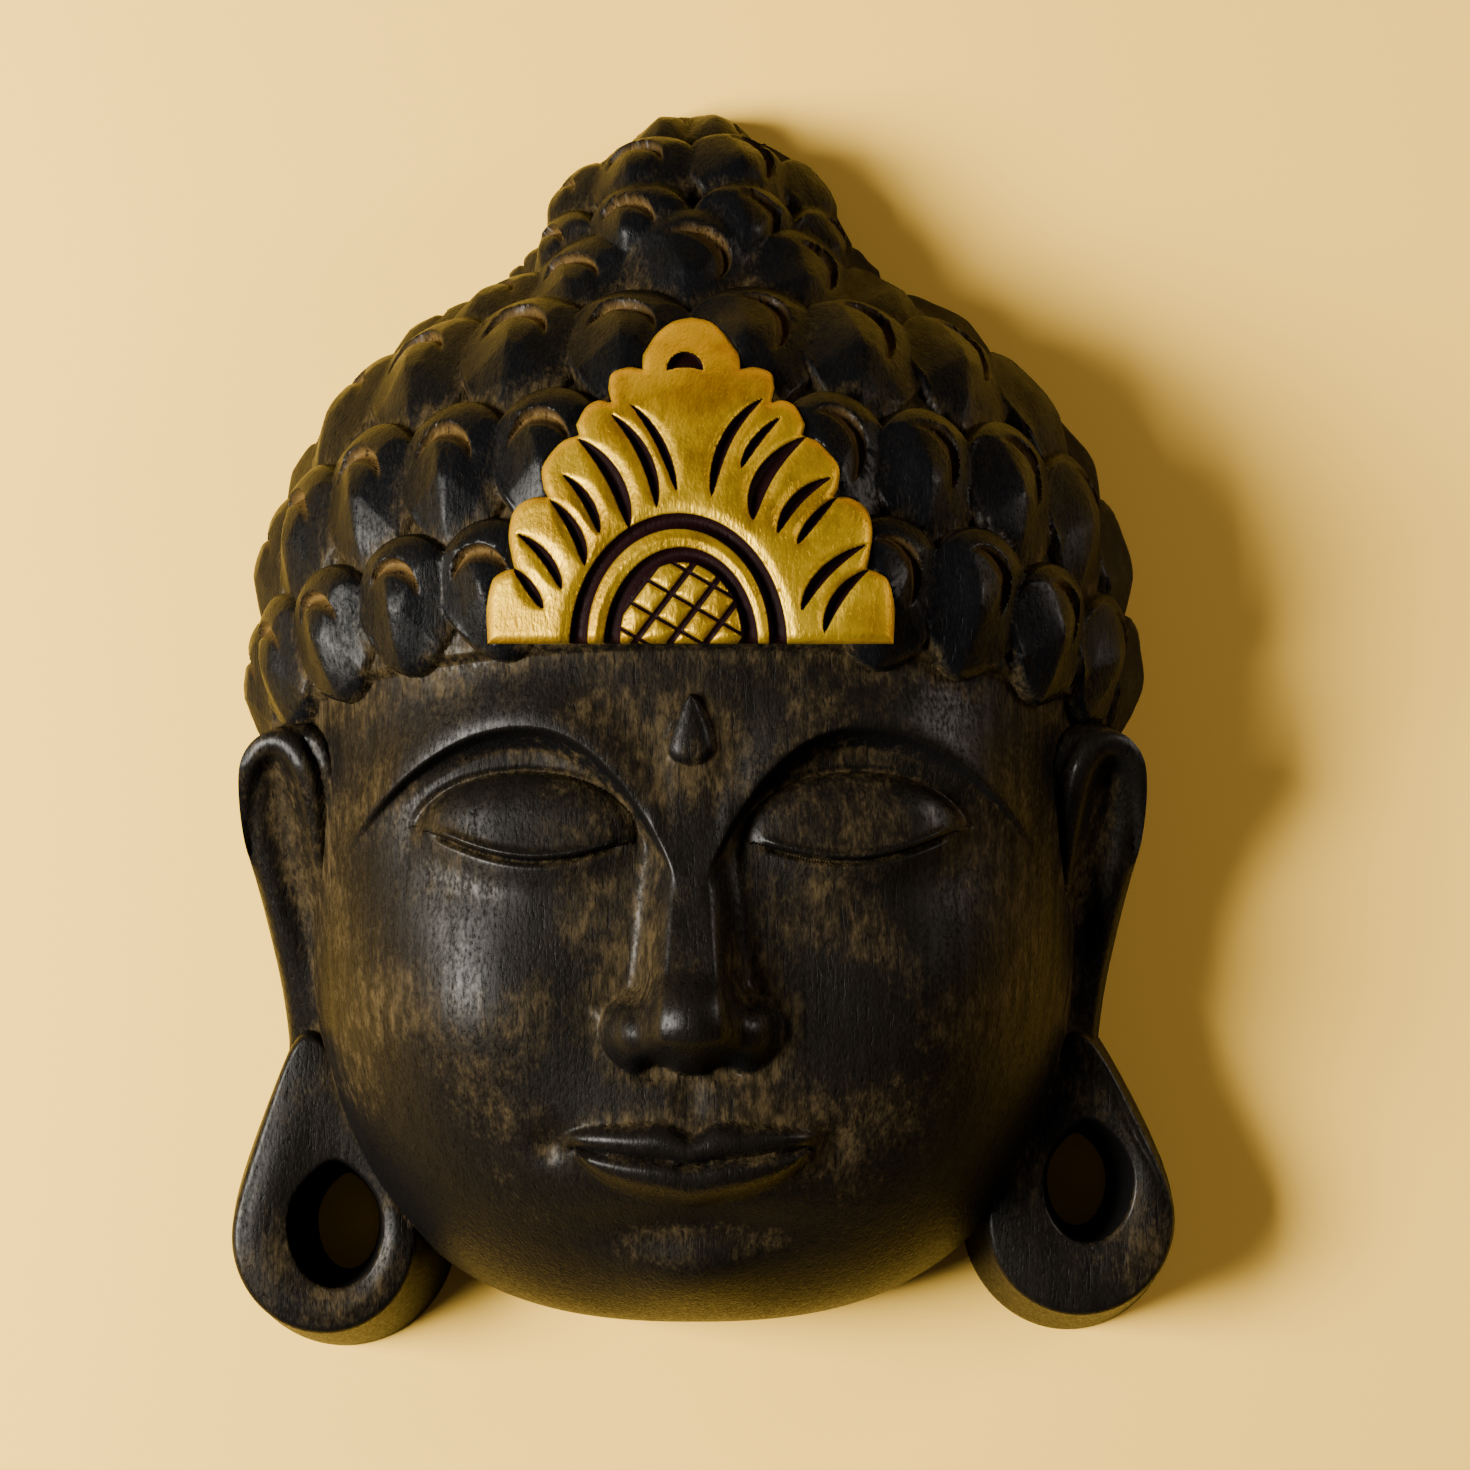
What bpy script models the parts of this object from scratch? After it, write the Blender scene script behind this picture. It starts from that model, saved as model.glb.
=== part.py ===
"""A carved wooden wall mask of a Buddha's head, lying on its flat back with the face up.

Right of the face is +X, the crown is +Y, and the nose points along +Z. The back rim lies on z = 0.
"""

import math
import random

import bmesh
import bpy
import numpy as np
from mathutils import Matrix, Vector
from mathutils.geometry import delaunay_2d_cdt

# Driving dimensions, in metres.
MASK_HEIGHT = 0.300
RIM_WALL = 0.019
FACE_WALL = 0.022

# The carving is set out in parts, this many of them to the height of the mask.
PARTS_HIGH = 293.2
PART = MASK_HEIGHT / PARTS_HIGH

# Centre, half sizes and squareness of the rounded forms that make up the bare head.
CRANIUM = ((0, 18, 0), (96, 86, 79), 2.15)
FACE = ((0, -33, 0), (92, 109, 78), 2.6)
TOPKNOT = ((0, 97, 0), (32, 39, 38), 2.1)
FORM_BLEND = 14
FEATURE_SIZE = 0.97

# Hair: rings of snail curls round the crown, each ring leaning back by its own angle.
HAIRLINE_LEAN = math.radians(18)
HAIRLINE_HEIGHT = -11
HAIR_RAISE = 3.2
CURL_HEIGHT = 6.2
CURL_SEED = 7
# Each ring: lean, latitude, first azimuth, azimuth step, curls on each side, half width, half height.
HEAD_RINGS = (
    (17.5, -8.0, 29.5, 13.4, 5, 13.0, 15.2),
    (22.5, 5.5, 6.7, 14.2, 6, 13.6, 17.0),
    (29.0, 21.0, 9.5, 17.0, 5, 15.0, 18.0),
    (20.0, 44.0, 0, 21.5, 5, 15.0, 15.6),
)
TOPKNOT_RINGS = (
    (18.0, 5.0, 17, 33.0, 3, 12.0, 11.5),
    (18.0, 28.0, 17, 36.0, 3, 12.2, 11.5),
    (18.0, 55.0, 13, 60.0, 2, 9.5, 10.5),
)
# A crescent is cut in each curl, inside the first circle and outside the second, in half sizes.
HOOD_ARC = (-0.10, 0.06, 0.60)
KNOB_ARC = (-0.34, -0.30, 0.66)
CRESCENT_DEPTH = 0.42
CRESCENT_TURN = (math.radians(20), math.radians(-18))

# Crest: petals on one side from its foot to its tip, each as corner points of a smooth outline.
CREST_FOOT = 17.0
CREST_RAISE = 11.5
CREST_ROOT = 4.0
CREST_BEVEL = 1.2
CREST_INSET = 0.972
PETALS = (
    ((44.2, 0), (44.5, 8.4), (43.4, 13.9), (40.8, 15.8), (38.4, 16.4)),
    ((38.9, 18.3), (39.8, 23.9), (38.6, 29.4), (34.9, 32), (31.3, 32.2)),
    ((32.2, 34), (32.7, 39.3), (29, 44.3), (24.6, 46.1)),
    ((25.3, 48.5), (23.3, 52.5), (20.5, 54.1), (17.8, 53.7)),
    ((18.4, 56.9), (17.7, 60.5), (14.2, 62), (10.9, 61.5)),
    ((11, 65.1), (8.5, 69.9), (4.5, 73.2), (0, 74.3)),
)
PETAL_STEPS = 4
# Each vein on one side: inner end, outer end.
VEINS = (
    (31.2, 5.8, 37.8, 16),
    (27.4, 10.7, 37.6, 24.2),
    (22.2, 15.8, 30.9, 31.7),
    (18.9, 23.2, 28, 37.8),
    (13, 24.6, 24.4, 45.8),
    (6.9, 29.9, 16.6, 51.2),
    (1.8, 34.1, 13.2, 54.8),
)
VEIN_WIDTH = 1.25
VEIN_DEPTH = 2.4
ARCH_HALF = (22.6, 27.4)
INNER_ARCH_HALF = (15.7, 20.0)
ARCH_GROOVE = 1.5
LATTICE_PITCH = 8.4
LATTICE_REACH = 0.84
EYELET = (0.0, 61.0, 4.3)

# Upper ear, as half of a pair, from its top round the outer edge and back inside the head.
LEAF = (
    (84, 1), (90, 1.8), (96, 0.6), (101.5, -2.6), (105, -8), (106, -16), (105.3, -27), (103, -38),
    (100.4, -50), (98.2, -62), (97, -74), (98, -86), (90, -94), (78, -88), (78, -60), (79, -20),
)
LEAF_BACK = 18.0
LEAF_RISE = 26.0
LEAF_SLOPE = 0.30
HELIX = (
    (102.6, -20, 0.8), (102.8, -12, 2.4), (99.6, -5.8, 3.4), (94.4, -4.0, 3.7), (89.6, -8.5, 3.6),
    (87.2, -18, 3.0), (86.0, -31, 0.9),
)
# Each lobe: side, front centre, front half sizes, back centre, back half sizes, hole centre, hole half sizes.
LOBES = (
    (-1, (85.6, -119.6), (21.6, 22.6), (83.6, -122.0), (27.8, 29.0), (83.0, -116.6), (10.9, 14.8)),
    (1, (89.8, -115.6), (22.0, 22.4), (89.4, -118.4), (26.0, 28.8), (91.6, -106.6), (10.4, 14.2)),
)
LOBE_APEX = (89.5, -72.0)
LOBE_FRONT = 31.5
LOBE_BEVEL = 1.5
HOLE_NARROWING = (0.62, 0.74)
HOLE_SINK = 3.6

GRID_CELLS = 240
HOLLOW_STEP = 4
SEAT = 3.0
HEAD_TRIANGLES = 5700


def smoothstep(low, high, value):
    t = np.clip((value - low) / (high - low), 0, 1)
    return t * t * (3 - 2 * t)


def bell(value):
    return np.exp(-value * value)


def form_level(points, form, shrink=(0, 0, 0)):
    """How far points lie outside a rounded form, roughly; below zero inside."""
    centre, half, power = form
    half = np.array(half, float) - shrink
    reach = (np.abs((points - centre) / half) ** power).sum(axis=-1) ** (1 / power)
    return (reach - 1) * half.min()


def blended(a, b):
    """The smooth union of two levels."""
    h = np.clip(0.5 + 0.5 * (b - a) / FORM_BLEND, 0, 1)
    return b + (a - b) * h - FORM_BLEND * h * (1 - h)


def head_level(points):
    body = blended(form_level(points, CRANIUM), form_level(points, FACE))
    return blended(body, form_level(points, TOPKNOT))


def hollow_level(points):
    shrink = np.array((RIM_WALL, RIM_WALL, FACE_WALL)) / PART
    return blended(form_level(points, CRANIUM, shrink), form_level(points, FACE, shrink))


def surface_along(origin, directions, level):
    """Where rays from origin leave the surface at level zero, by halving."""
    near = np.zeros(len(directions))
    far = np.full(len(directions), 250.0)
    for _ in range(26):
        middle = (near + far) / 2
        inside = level(origin + directions * middle[:, None]) < 0
        near = np.where(inside, middle, near)
        far = np.where(inside, far, middle)
    return origin + directions * near[:, None]


def outward(points, level):
    """Unit normals of a level's surface."""
    slope = np.empty_like(points)
    for axis in range(3):
        step = np.zeros(3)
        step[axis] = 0.05
        slope[:, axis] = level(points + step) - level(points - step)
    return slope / np.linalg.norm(slope, axis=1)[:, None]


def half_globe(cells):
    """Directions over the half globe z >= 0, as a square grid of cells by cells."""
    line = np.linspace(-1, 1, cells + 1)
    u, v = (a.ravel() for a in np.meshgrid(line, line, indexing="ij"))
    reach = np.maximum(np.abs(u), np.abs(v))
    wide = np.abs(u) > np.abs(v)
    safe_u = np.where(u == 0, 1, u)
    safe_v = np.where(v == 0, 1, v)
    turn = np.where(wide, math.pi / 4 * v / safe_u, math.pi / 2 - math.pi / 4 * u / safe_v)
    turn = np.where(np.where(wide, u, v) < 0, turn + math.pi, turn)
    flat = reach * np.sqrt(2 - reach**2)
    return np.stack((flat * np.cos(turn), flat * np.sin(turn), 1 - reach**2), axis=1)


def leaned(lean, latitude, azimuth):
    """A direction by latitude and azimuth round an axis that leans back."""
    level = math.cos(latitude)
    x, y, z = level * math.sin(azimuth), math.sin(latitude), level * math.cos(azimuth)
    turn = math.cos(lean), math.sin(lean)
    return np.array((x, y * turn[0] + z * turn[1], z * turn[0] - y * turn[1]))


def curls():
    """Every curl as its centre, its right, up and outward directions, and its half sizes."""
    chance = random.Random(CURL_SEED)
    found = []
    for centre, rings in ((CRANIUM[0], HEAD_RINGS), (TOPKNOT[0], TOPKNOT_RINGS)):
        for lean, latitude, first, step, count, wide, tall in rings:
            azimuths = [first + step * i for i in range(count)]
            for azimuth in sorted({side * a for a in azimuths for side in (-1, 1)}):
                at = math.radians(latitude + chance.uniform(-1, 1)), math.radians(azimuth)
                lean_by = math.radians(lean)
                ray = leaned(lean_by, *at)
                spot = surface_along(np.array(centre, float), ray[None], head_level)
                out = outward(spot, head_level)[0]
                up = leaned(lean_by, at[0] + 0.1, at[1]) - ray
                up -= out * (up @ out)
                up /= np.linalg.norm(up)
                right = np.cross(up, out)
                turn = math.radians(chance.uniform(-7, 7))
                right, up = right * math.cos(turn) + up * math.sin(turn), up * math.cos(turn) - right * math.sin(turn)
                size = chance.uniform(0.96, 1.05)
                found.append((spot[0], right, up, wide * size, tall * size))
    return found


def circle_gap(a, b, arc):
    """How far points lie inside a circle given by its centre and radius."""
    return arc[2] - np.hypot(a - arc[0], b - arc[1])


def curl_profile(a, b, turn):
    """Height of one curl, as a share, over its own plane: a keeled lock with a turned crescent cut."""
    narrowed = a * (1 + 0.30 * np.clip(-b, 0, 1))
    reach = narrowed**2 + b**2
    dome = np.clip(1 - reach**1.3, 0, 1) ** 0.5 * (0.86 + 0.16 * b)
    keel = 0.07 * bell((a - 0.02) / 0.16) * smoothstep(0.15, -0.35, b)
    swept = a * math.cos(turn) + b * math.sin(turn), b * math.cos(turn) - a * math.sin(turn)
    hood = smoothstep(0, 0.10, circle_gap(*swept, HOOD_ARC))
    slope = np.clip(-circle_gap(*swept, KNOB_ARC) / 0.30, 0, 1)
    return (dome + keel - CRESCENT_DEPTH * hood * slope) * (dome > 0)


def hair_height(points):
    """How far the hair stands off the bare head."""
    above = points[:, 1] - points[:, 2] * math.tan(HAIRLINE_LEAN) - HAIRLINE_HEIGHT
    raised = smoothstep(0, 4, above)
    locks = np.zeros(len(points))
    for spot, right, up, wide, tall in curls():
        offset = points - spot
        near = np.nonzero((offset**2).sum(axis=1) < (1.2 * max(wide, tall)) ** 2)[0]
        a, b = offset[near] @ right / wide, offset[near] @ up / tall
        turn = CRESCENT_TURN[0] if spot[0] < 0 else CRESCENT_TURN[1]
        locks[near] = np.maximum(locks[near], curl_profile(a, b, turn))
    return HAIR_RAISE * np.maximum(raised, smoothstep(0, 0.3, locks)) + CURL_HEIGHT * locks


def face_relief(x, y):
    """Height of the features on the front of the face, by place; the two halves match."""
    ax = np.abs(x)
    # Brows: sharp arcs that run down into the sides of the nose.
    lift = np.where(ax > 38, 22 * ((ax - 38) / 38) ** 2, 24 * (np.clip(38 - ax, 0, 40) / 30) ** 2.2)
    above = (y + 1 + lift) / np.sqrt(1 + (0.9 * (ax - 38) / 38) ** 2)
    brow_span = smoothstep(84, 70, ax) * smoothstep(3, 9, ax)
    brow = 3.2 * np.where(above > 0, bell(above / 9), smoothstep(-4, 0, above)) * brow_span
    socket = -4.5 * smoothstep(0, -5, above) * bell((ax - 32) / 27) * smoothstep(-44, -26, y)
    # Eyes: full upper lids, lowered, over a narrow slit.
    along = np.clip((ax - 17) / 42, 0, 1)
    lash = y - (-28.5 - 4 * np.sin(math.pi * along) + 3.5 * along)
    ball = np.sqrt(np.clip(1 - ((ax - 38) / 25) ** 2 - ((y + 25) / 17) ** 2, 0, 1))
    lid = 7.5 * ball * np.where(lash > 0, 1, 1 - 0.34 * smoothstep(0, -1.3, lash))
    slit = -1.3 * bell((lash + 1.2) / 0.9) * smoothstep(0, 0.12, along) * smoothstep(1, 0.88, along)
    # Nose: a straight bridge, a rounded tip and two wings.
    down = np.clip((-y - 6) / 62, 0, 1)
    tall = (3 + 14.5 * down**1.15) * smoothstep(8, -10, y) * smoothstep(-79, -69, y)
    top_half = 3.0 + 2.6 * down**3
    bridge = tall * (1 - smoothstep(top_half, top_half + 9, ax))
    tip = 20.5 * np.sqrt(np.clip(1 - (ax / 11) ** 2 - ((y + 67) / 11.5) ** 2, 0, 1))
    wing = 12 * np.sqrt(np.clip(1 - ((ax - 12.5) / 8) ** 2 - ((y + 70.5) / 9) ** 2, 0, 1))
    nostril = -4 * bell(np.hypot((ax - 7.5) / 3.2, (y + 78) / 2.4))
    # Mouth: closed, level lips on a soft muzzle.
    muzzle = 5.5 * bell(np.hypot(ax / 34, (y + 100) / 20))
    seam = y - (-100 + 3 * (ax / 29) ** 2 - 0.9 * bell(ax / 5))
    upper = 6.8 * np.sqrt(np.clip(1 - (ax / 30) ** 2, 0.001, 1)) + 1.3 * bell((ax - 5.5) / 3.5) - 1.0 * bell(ax / 2.6)
    lower = 9.5 * np.sqrt(np.clip(1 - (ax / 26) ** 2, 0.001, 1))
    lip = np.where(seam > 0, seam / upper, -seam / lower)
    full = np.clip(1 - lip**2, 0, 1) ** 0.7
    taper = np.clip(1 - (ax / 30) ** 2, 0, 1) ** 0.6
    lips = full * taper * np.where(seam > 0, 4.4, 5.4) - 2.4 * bell(seam / 1.8) * smoothstep(33, 22, ax)
    corner = -1.8 * bell(np.hypot((ax - 31.5) / 5, (y + 97) / 5))
    groove = -1.4 * bell(ax / 3) * smoothstep(-94, -88, y) * smoothstep(-76, -82, y)
    # Chin, cheeks and the crease under the lower lip.
    crease = -3.0 * bell((y + 115) / 5) * bell(ax / 22)
    chin = 7.0 * bell(np.hypot(ax / 17, (y + 130) / 12))
    cheek = 4.5 * bell(np.hypot((ax - 50) / 22, (y + 66) / 22))
    # Forehead mark: a pointed drop.
    drop = 1 - (ax / (5.6 * np.sqrt(np.clip((6 - y) / 12, 0.001, 1)))) ** 2 - (np.clip(-y - 5, 0, 9) / 5) ** 2
    mark = 2.6 * np.sqrt(np.clip(drop, 0, 1)) * (y < 6) * (y > -10.5)
    nose = (bridge**4 + tip**4 + wing**4) ** 0.25 + nostril
    skin = brow + socket + lid + slit + muzzle + lips + corner + groove + crease + chin + cheek + mark
    return skin + nose


def through(points, steps):
    """A smooth line through points, by cubic arcs."""
    points = np.array(points, float)
    ends = np.vstack((2 * points[0] - points[1], points, 2 * points[-1] - points[-2]))
    t = np.linspace(0, 1, steps, endpoint=False)[:, None]
    line = []
    for before, start, stop, after in zip(ends, ends[1:], ends[2:], ends[3:]):
        pull = (stop - before) / 2, (after - start) / 2
        bend = 2 * t**3 - 3 * t**2
        line.append((1 + bend) * start - bend * stop + (t**3 - 2 * t**2 + t) * pull[0] + (t**3 - t**2) * pull[1])
    return np.vstack((*line, points[-1:]))


def crest_outline():
    """The crest's outline from its right foot over the tip to its left foot."""
    half = np.vstack([through(petal, PETAL_STEPS) for petal in PETALS])
    return np.vstack((half, half[-2::-1] * (-1, 1)))


def vein_width(place, count):
    """Half width of a vein's cut at a place along it, narrow at both ends."""
    return 0.3 + VEIN_WIDTH * np.sin(np.pi * place / (count - 1)) ** 0.6


def vein_lines():
    """Each vein on one side, as points from the arch out to the edge of the crest."""
    t = np.linspace(0, 1, 12)[:, None]
    for ends in VEINS:
        inner, outer = np.array(ends[:2]), np.array(ends[2:])
        elbow = inner + (outer - inner) * (0.30, 0.66)
        yield (1 - t) ** 2 * inner + 2 * t * (1 - t) * elbow + t**2 * outer


def crest_relief(x, y):
    """Depth of the crest's cuts below its face, by place from its foot."""
    ax = np.abs(x)
    cut = np.zeros(x.shape)
    for line in vein_lines():
        gaps = np.hypot(ax[..., None] - line[:, 0], y[..., None] - line[:, 1])
        width = vein_width(gaps.argmin(axis=-1), len(line))
        cut = np.maximum(cut, bell(gaps.min(axis=-1) / width))
    for half in (ARCH_HALF, INNER_ARCH_HALF):
        reach = np.hypot(x / half[0], y / half[1])
        cut = np.maximum(cut, bell((reach - 1) * half[0] / ARCH_GROOVE))
    inside = smoothstep(1.0, 0.9, np.hypot(x / INNER_ARCH_HALF[0], y / INNER_ARCH_HALF[1]))
    for slant in (x + y, x - y):
        wave = np.abs((slant / LATTICE_PITCH) % 1 - 0.5)
        cut = np.maximum(cut, 0.45 * smoothstep(0.36, 0.5, wave) * inside)
    left, foot, wide = EYELET
    arch = 1 - np.hypot((x - left) / wide, (y - foot) / wide)
    cut = np.maximum(cut, smoothstep(0, 0.25, arch) * smoothstep(-0.4, 0.6, y - foot))
    return VEIN_DEPTH * cut


def in_crest(points):
    """One well inside the crest's outline, zero at it and outside."""
    outline = crest_outline()
    turns = np.arctan2(outline[:, 1], outline[:, 0])
    x, y = points[:, 0], points[:, 1] - CREST_FOOT
    edge = np.interp(np.arctan2(np.maximum(y, 0), x), turns, np.linalg.norm(outline, axis=1)) - np.hypot(x, y)
    return smoothstep(2, 5, edge) * smoothstep(1, 4, y)


def carved_head():
    """Outer surface of the head, as a square grid of points."""
    bare = surface_along(np.zeros(3), half_globe(GRID_CELLS), head_level)
    out = outward(bare, head_level)
    out[bare[:, 2] < 0.01, 2] = 0
    hair = hair_height(bare) * (1 - in_crest(bare))
    front = smoothstep(12, 30, bare[:, 2]) * (hair < 0.01)
    carved = bare + out * hair[:, None]
    carved[:, 2] += face_relief(bare[:, 0] / FEATURE_SIZE, bare[:, 1] / FEATURE_SIZE) * front
    return carved


def grid_rim(cells):
    """Indices of a square grid's border, in order round it."""
    side = np.arange(cells)
    width = cells + 1
    return np.concatenate((side * width, cells * width + side, (cells - side) * width + cells, cells - side))


def grid_faces(cells, first=0, flip=False):
    index = first + np.arange((cells + 1) ** 2).reshape(cells + 1, cells + 1)
    quads = np.stack((index[:-1, :-1], index[1:, :-1], index[1:, 1:], index[:-1, 1:]), axis=-1).reshape(-1, 4)
    return (quads[:, ::-1] if flip else quads).tolist()


def mesh_object(name, points, faces):
    """A new object from points in parts."""
    mesh = bpy.data.meshes.new(name)
    mesh.from_pydata((np.asarray(points) * PART).tolist(), [], faces)
    mesh.validate()
    made = bpy.data.objects.new(name, mesh)
    bpy.context.scene.collection.objects.link(made)
    return made


def head():
    """The head with its hollow back, one closed body on a flat rim."""
    outer = carved_head()
    inner_cells = GRID_CELLS // HOLLOW_STEP
    inner = surface_along(np.zeros(3), half_globe(inner_cells), hollow_level)
    outer_rim, inner_rim = grid_rim(GRID_CELLS), len(outer) + grid_rim(inner_cells)
    points = np.vstack((outer, inner))
    points[outer_rim, 2] = -SEAT
    points[inner_rim, 2] = -SEAT
    faces = grid_faces(GRID_CELLS) + grid_faces(inner_cells, len(outer), flip=True)
    for i in range(len(inner_rim)):
        span = [outer_rim[(HOLLOW_STEP * i + k) % len(outer_rim)] for k in range(HOLLOW_STEP + 1)]
        faces.append([int(v) for v in (inner_rim[i], *[inner_rim[(i + 1) % len(inner_rim)]], *span[::-1])])
    return mesh_object("mask", points, faces)


def crest_setting_out():
    """Points that the crest's face is built on, as open lines, with the outline first."""
    outline = crest_outline()
    lines = [outline, outline * CREST_INSET]
    for vein in vein_lines():
        along = np.gradient(vein, axis=0)
        across = np.stack((-along[:, 1], along[:, 0]), axis=1) / np.linalg.norm(along, axis=1)[:, None]
        width = 1.6 * vein_width(np.arange(len(vein)), len(vein))[:, None]
        for line in (vein, (vein + across * width)[1:-1:2], (vein - across * width)[1:-1:2]):
            lines += [line[:: 1 if line is not vein else 2], line[:: 1 if line is not vein else 2] * (-1, 1)]
    turns = np.radians(np.linspace(0, 180, 25))
    for half in (ARCH_HALF, INNER_ARCH_HALF):
        for aside in (-1.7 * ARCH_GROOVE, 0, 1.7 * ARCH_GROOVE):
            size = np.array(half) + aside
            lines.append(np.stack((np.cos(turns), np.sin(turns)), axis=1).clip((-1, 0)) * size)
    cross = np.arange(-5, 6) * LATTICE_PITCH / 2
    net = np.array([(x, y) for x in cross for y in cross])
    ropes = [np.stack((cross, slant * (k * LATTICE_PITCH - cross)), axis=1) for k in range(-3, 4) for slant in (1, -1)]
    for line in [*net[:, None], *ropes]:
        inside = np.hypot(line[:, 0] / INNER_ARCH_HALF[0], line[:, 1] / INNER_ARCH_HALF[1]) < LATTICE_REACH
        lines.append(line[inside & (line[:, 1] > -0.01)])
    turns = np.radians(np.linspace(0, 180, 9))
    for size in (0.7, 1.0):
        arch = np.stack((np.cos(turns), np.sin(turns)), axis=1) * EYELET[2] * size
        lines.append(arch + (EYELET[0], EYELET[1] + 0.6))
    lines.append(np.array(((-EYELET[2], EYELET[1] - 0.4), (EYELET[2], EYELET[1] - 0.4))))
    spread = [(x, y) for x in range(-36, 37, 6) for y in range(3, 70, 6)]
    lines += [np.array((node,), float) for node in spread]
    return lines


def border_loop(faces):
    """The vertices round the border of a flat net of faces, in order."""
    sides = {(a, b) for face in faces for a, b in zip(face, face[1:] + face[:1])}
    after = {a: b for a, b in sides if (b, a) not in sides}
    loop = [next(iter(sorted(after)))]
    while after[loop[-1]] != loop[0]:
        loop.append(after[loop[-1]])
    return loop


def crest():
    """The gilded crest as a thick curved leaf, rooted in the head."""
    spots, edges = [], []
    lines = crest_setting_out()
    edge = lines[0]
    reach = np.linalg.norm(edge, axis=1)
    for number, line in enumerate(lines):
        if number > 1:
            turns = np.arctan2(line[:, 1], line[:, 0])
            limit = np.interp(turns, np.arctan2(edge[:, 1], edge[:, 0]), reach)
            line = line[np.linalg.norm(line, axis=1) < limit * CREST_INSET - 0.5]
        edges += [(len(spots) + i, len(spots) + i + 1) for i in range(len(line) - 1)]
        spots += [Vector(spot) for spot in line]
    border = list(range(len(edge)))
    found = delaunay_2d_cdt(spots, edges, [border], 1, 1e-4)
    flat = np.array([tuple(spot) for spot in found[0]])
    ring = border_loop(found[2])
    start = np.column_stack((flat[:, 0], flat[:, 1] + CREST_FOOT, np.zeros(len(flat))))
    bare = surface_along(start, np.array((0.0, 0.0, 1.0)) + 0 * start, head_level)
    drop_off = np.zeros(len(flat))
    drop_off[[at for at in ring if flat[at, 1] > 1e-6 or abs(flat[at, 0]) > edge[0, 0] - 1e-4]] = CREST_BEVEL
    face = bare + np.column_stack((0 * flat, CREST_RAISE - drop_off - crest_relief(flat[:, 0], flat[:, 1])))
    root = bare - (0, 0, CREST_ROOT)
    faces = [list(f) for f in found[2]]
    faces += [[v + len(flat) for v in f[::-1]] for f in found[2]]
    faces += [[a, a + len(flat), b + len(flat), b] for a, b in zip(ring, ring[1:] + ring[:1])]
    made = mesh_object("crest", np.vstack((face, root)), faces)
    bm = bmesh.new()
    bm.from_mesh(made.data)
    bmesh.ops.recalc_face_normals(bm, faces=bm.faces)
    bm.to_mesh(made.data)
    bm.free()
    return made


def leaf_front(points):
    """Height of the upper ear's front, which rises to the top and towards the head."""
    rise = np.clip((points[:, 1] + 86) / 76, 0, 1)
    return LEAF_BACK + LEAF_RISE * rise + LEAF_SLOPE * (102 - points[:, 0])


def widened(outline, amount):
    """A closed outline moved outwards."""
    along = np.roll(outline, -1, axis=0) - np.roll(outline, 1, axis=0)
    along /= np.linalg.norm(along, axis=1)[:, None]
    return outline + amount * np.stack((-along[:, 1], along[:, 0]), axis=1)


def drop(centre, half, apex, count=30):
    """A closed drop outline, round below and drawn up to an apex."""
    turns = np.radians(np.linspace(90, -270, count, endpoint=False))
    centre = np.array(centre)
    pull = np.clip(np.sin(turns), 0, 1)[:, None] ** 2.6
    around = np.stack((np.cos(turns), np.sin(turns)), axis=1) * half
    lean = np.array(apex) - centre - (0, half[1])
    return centre + around * (1 - pull * (0.35, 0)) + lean * pull


def plate(name, side, loops):
    """A body between outlines from front to back, each given with its heights and its hole or none."""
    bm = bmesh.new()
    rings = []
    for outline, heights, hole in loops:
        shapes = [outline] if hole is None else [outline, hole]
        for shape in shapes:
            z = heights(shape) if callable(heights) else np.full(len(shape), float(heights))
            rings.append([bm.verts.new((side * x * PART, y * PART, h * PART)) for (x, y), h in zip(shape, z)])
    step = len(rings) // len(loops)
    for upper, lower in zip(rings, rings[step:]):
        for i in range(len(upper)):
            j = (i + 1) % len(upper)
            bm.faces.new((upper[i], upper[j], lower[j], lower[i]))
    for group in (rings[:step], rings[-step:]):
        edges = [bm.edges.get((ring[i - 1], ring[i])) for ring in group for i in range(len(ring))]
        bmesh.ops.triangle_fill(bm, use_beauty=True, edges=edges)
    bmesh.ops.recalc_face_normals(bm, faces=bm.faces)
    mesh = bpy.data.meshes.new(name)
    bm.to_mesh(mesh)
    bm.free()
    made = bpy.data.objects.new(name, mesh)
    bpy.context.scene.collection.objects.link(made)
    return made


def upper_ear(side):
    leaf = np.array(LEAF, float)
    leaf = through(np.vstack((leaf, leaf[:1])), 3)[:-1]
    front = widened(leaf, -2.2)
    loops = [
        (widened(leaf, -3.6), leaf_front, None),
        (front, lambda points: leaf_front(points) - 1.5, None),
        (leaf, -SEAT - 1, None),
    ]
    return plate("ear", side, loops)


def lobe(side, front_centre, front_half, back_centre, back_half, hole_centre, hole_half):
    """The long ear lobe, flared towards the back and pierced."""
    back_hole = np.array(hole_centre) - (0, HOLE_SINK)
    hole_apex = np.array(hole_centre) + (0, hole_half[1])
    wide = np.array(hole_half)
    narrow = wide * HOLE_NARROWING
    apex = np.array(LOBE_APEX)
    loops = [
        (
            drop(front_centre, np.array(front_half) - LOBE_BEVEL, apex - (0, 2)), LOBE_FRONT,
            drop(hole_centre, wide + 0.7, hole_apex + (0, 0.7), 24),
        ),
        (
            drop(front_centre, front_half, apex), LOBE_FRONT - LOBE_BEVEL,
            drop(hole_centre, wide, hole_apex, 24),
        ),
        (
            drop(back_centre, back_half, apex + (0, 4)), -SEAT - 2,
            drop(back_hole, narrow, back_hole + (0, narrow[1]), 24),
        ),
    ]
    return plate("lobe", side, loops)


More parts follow.
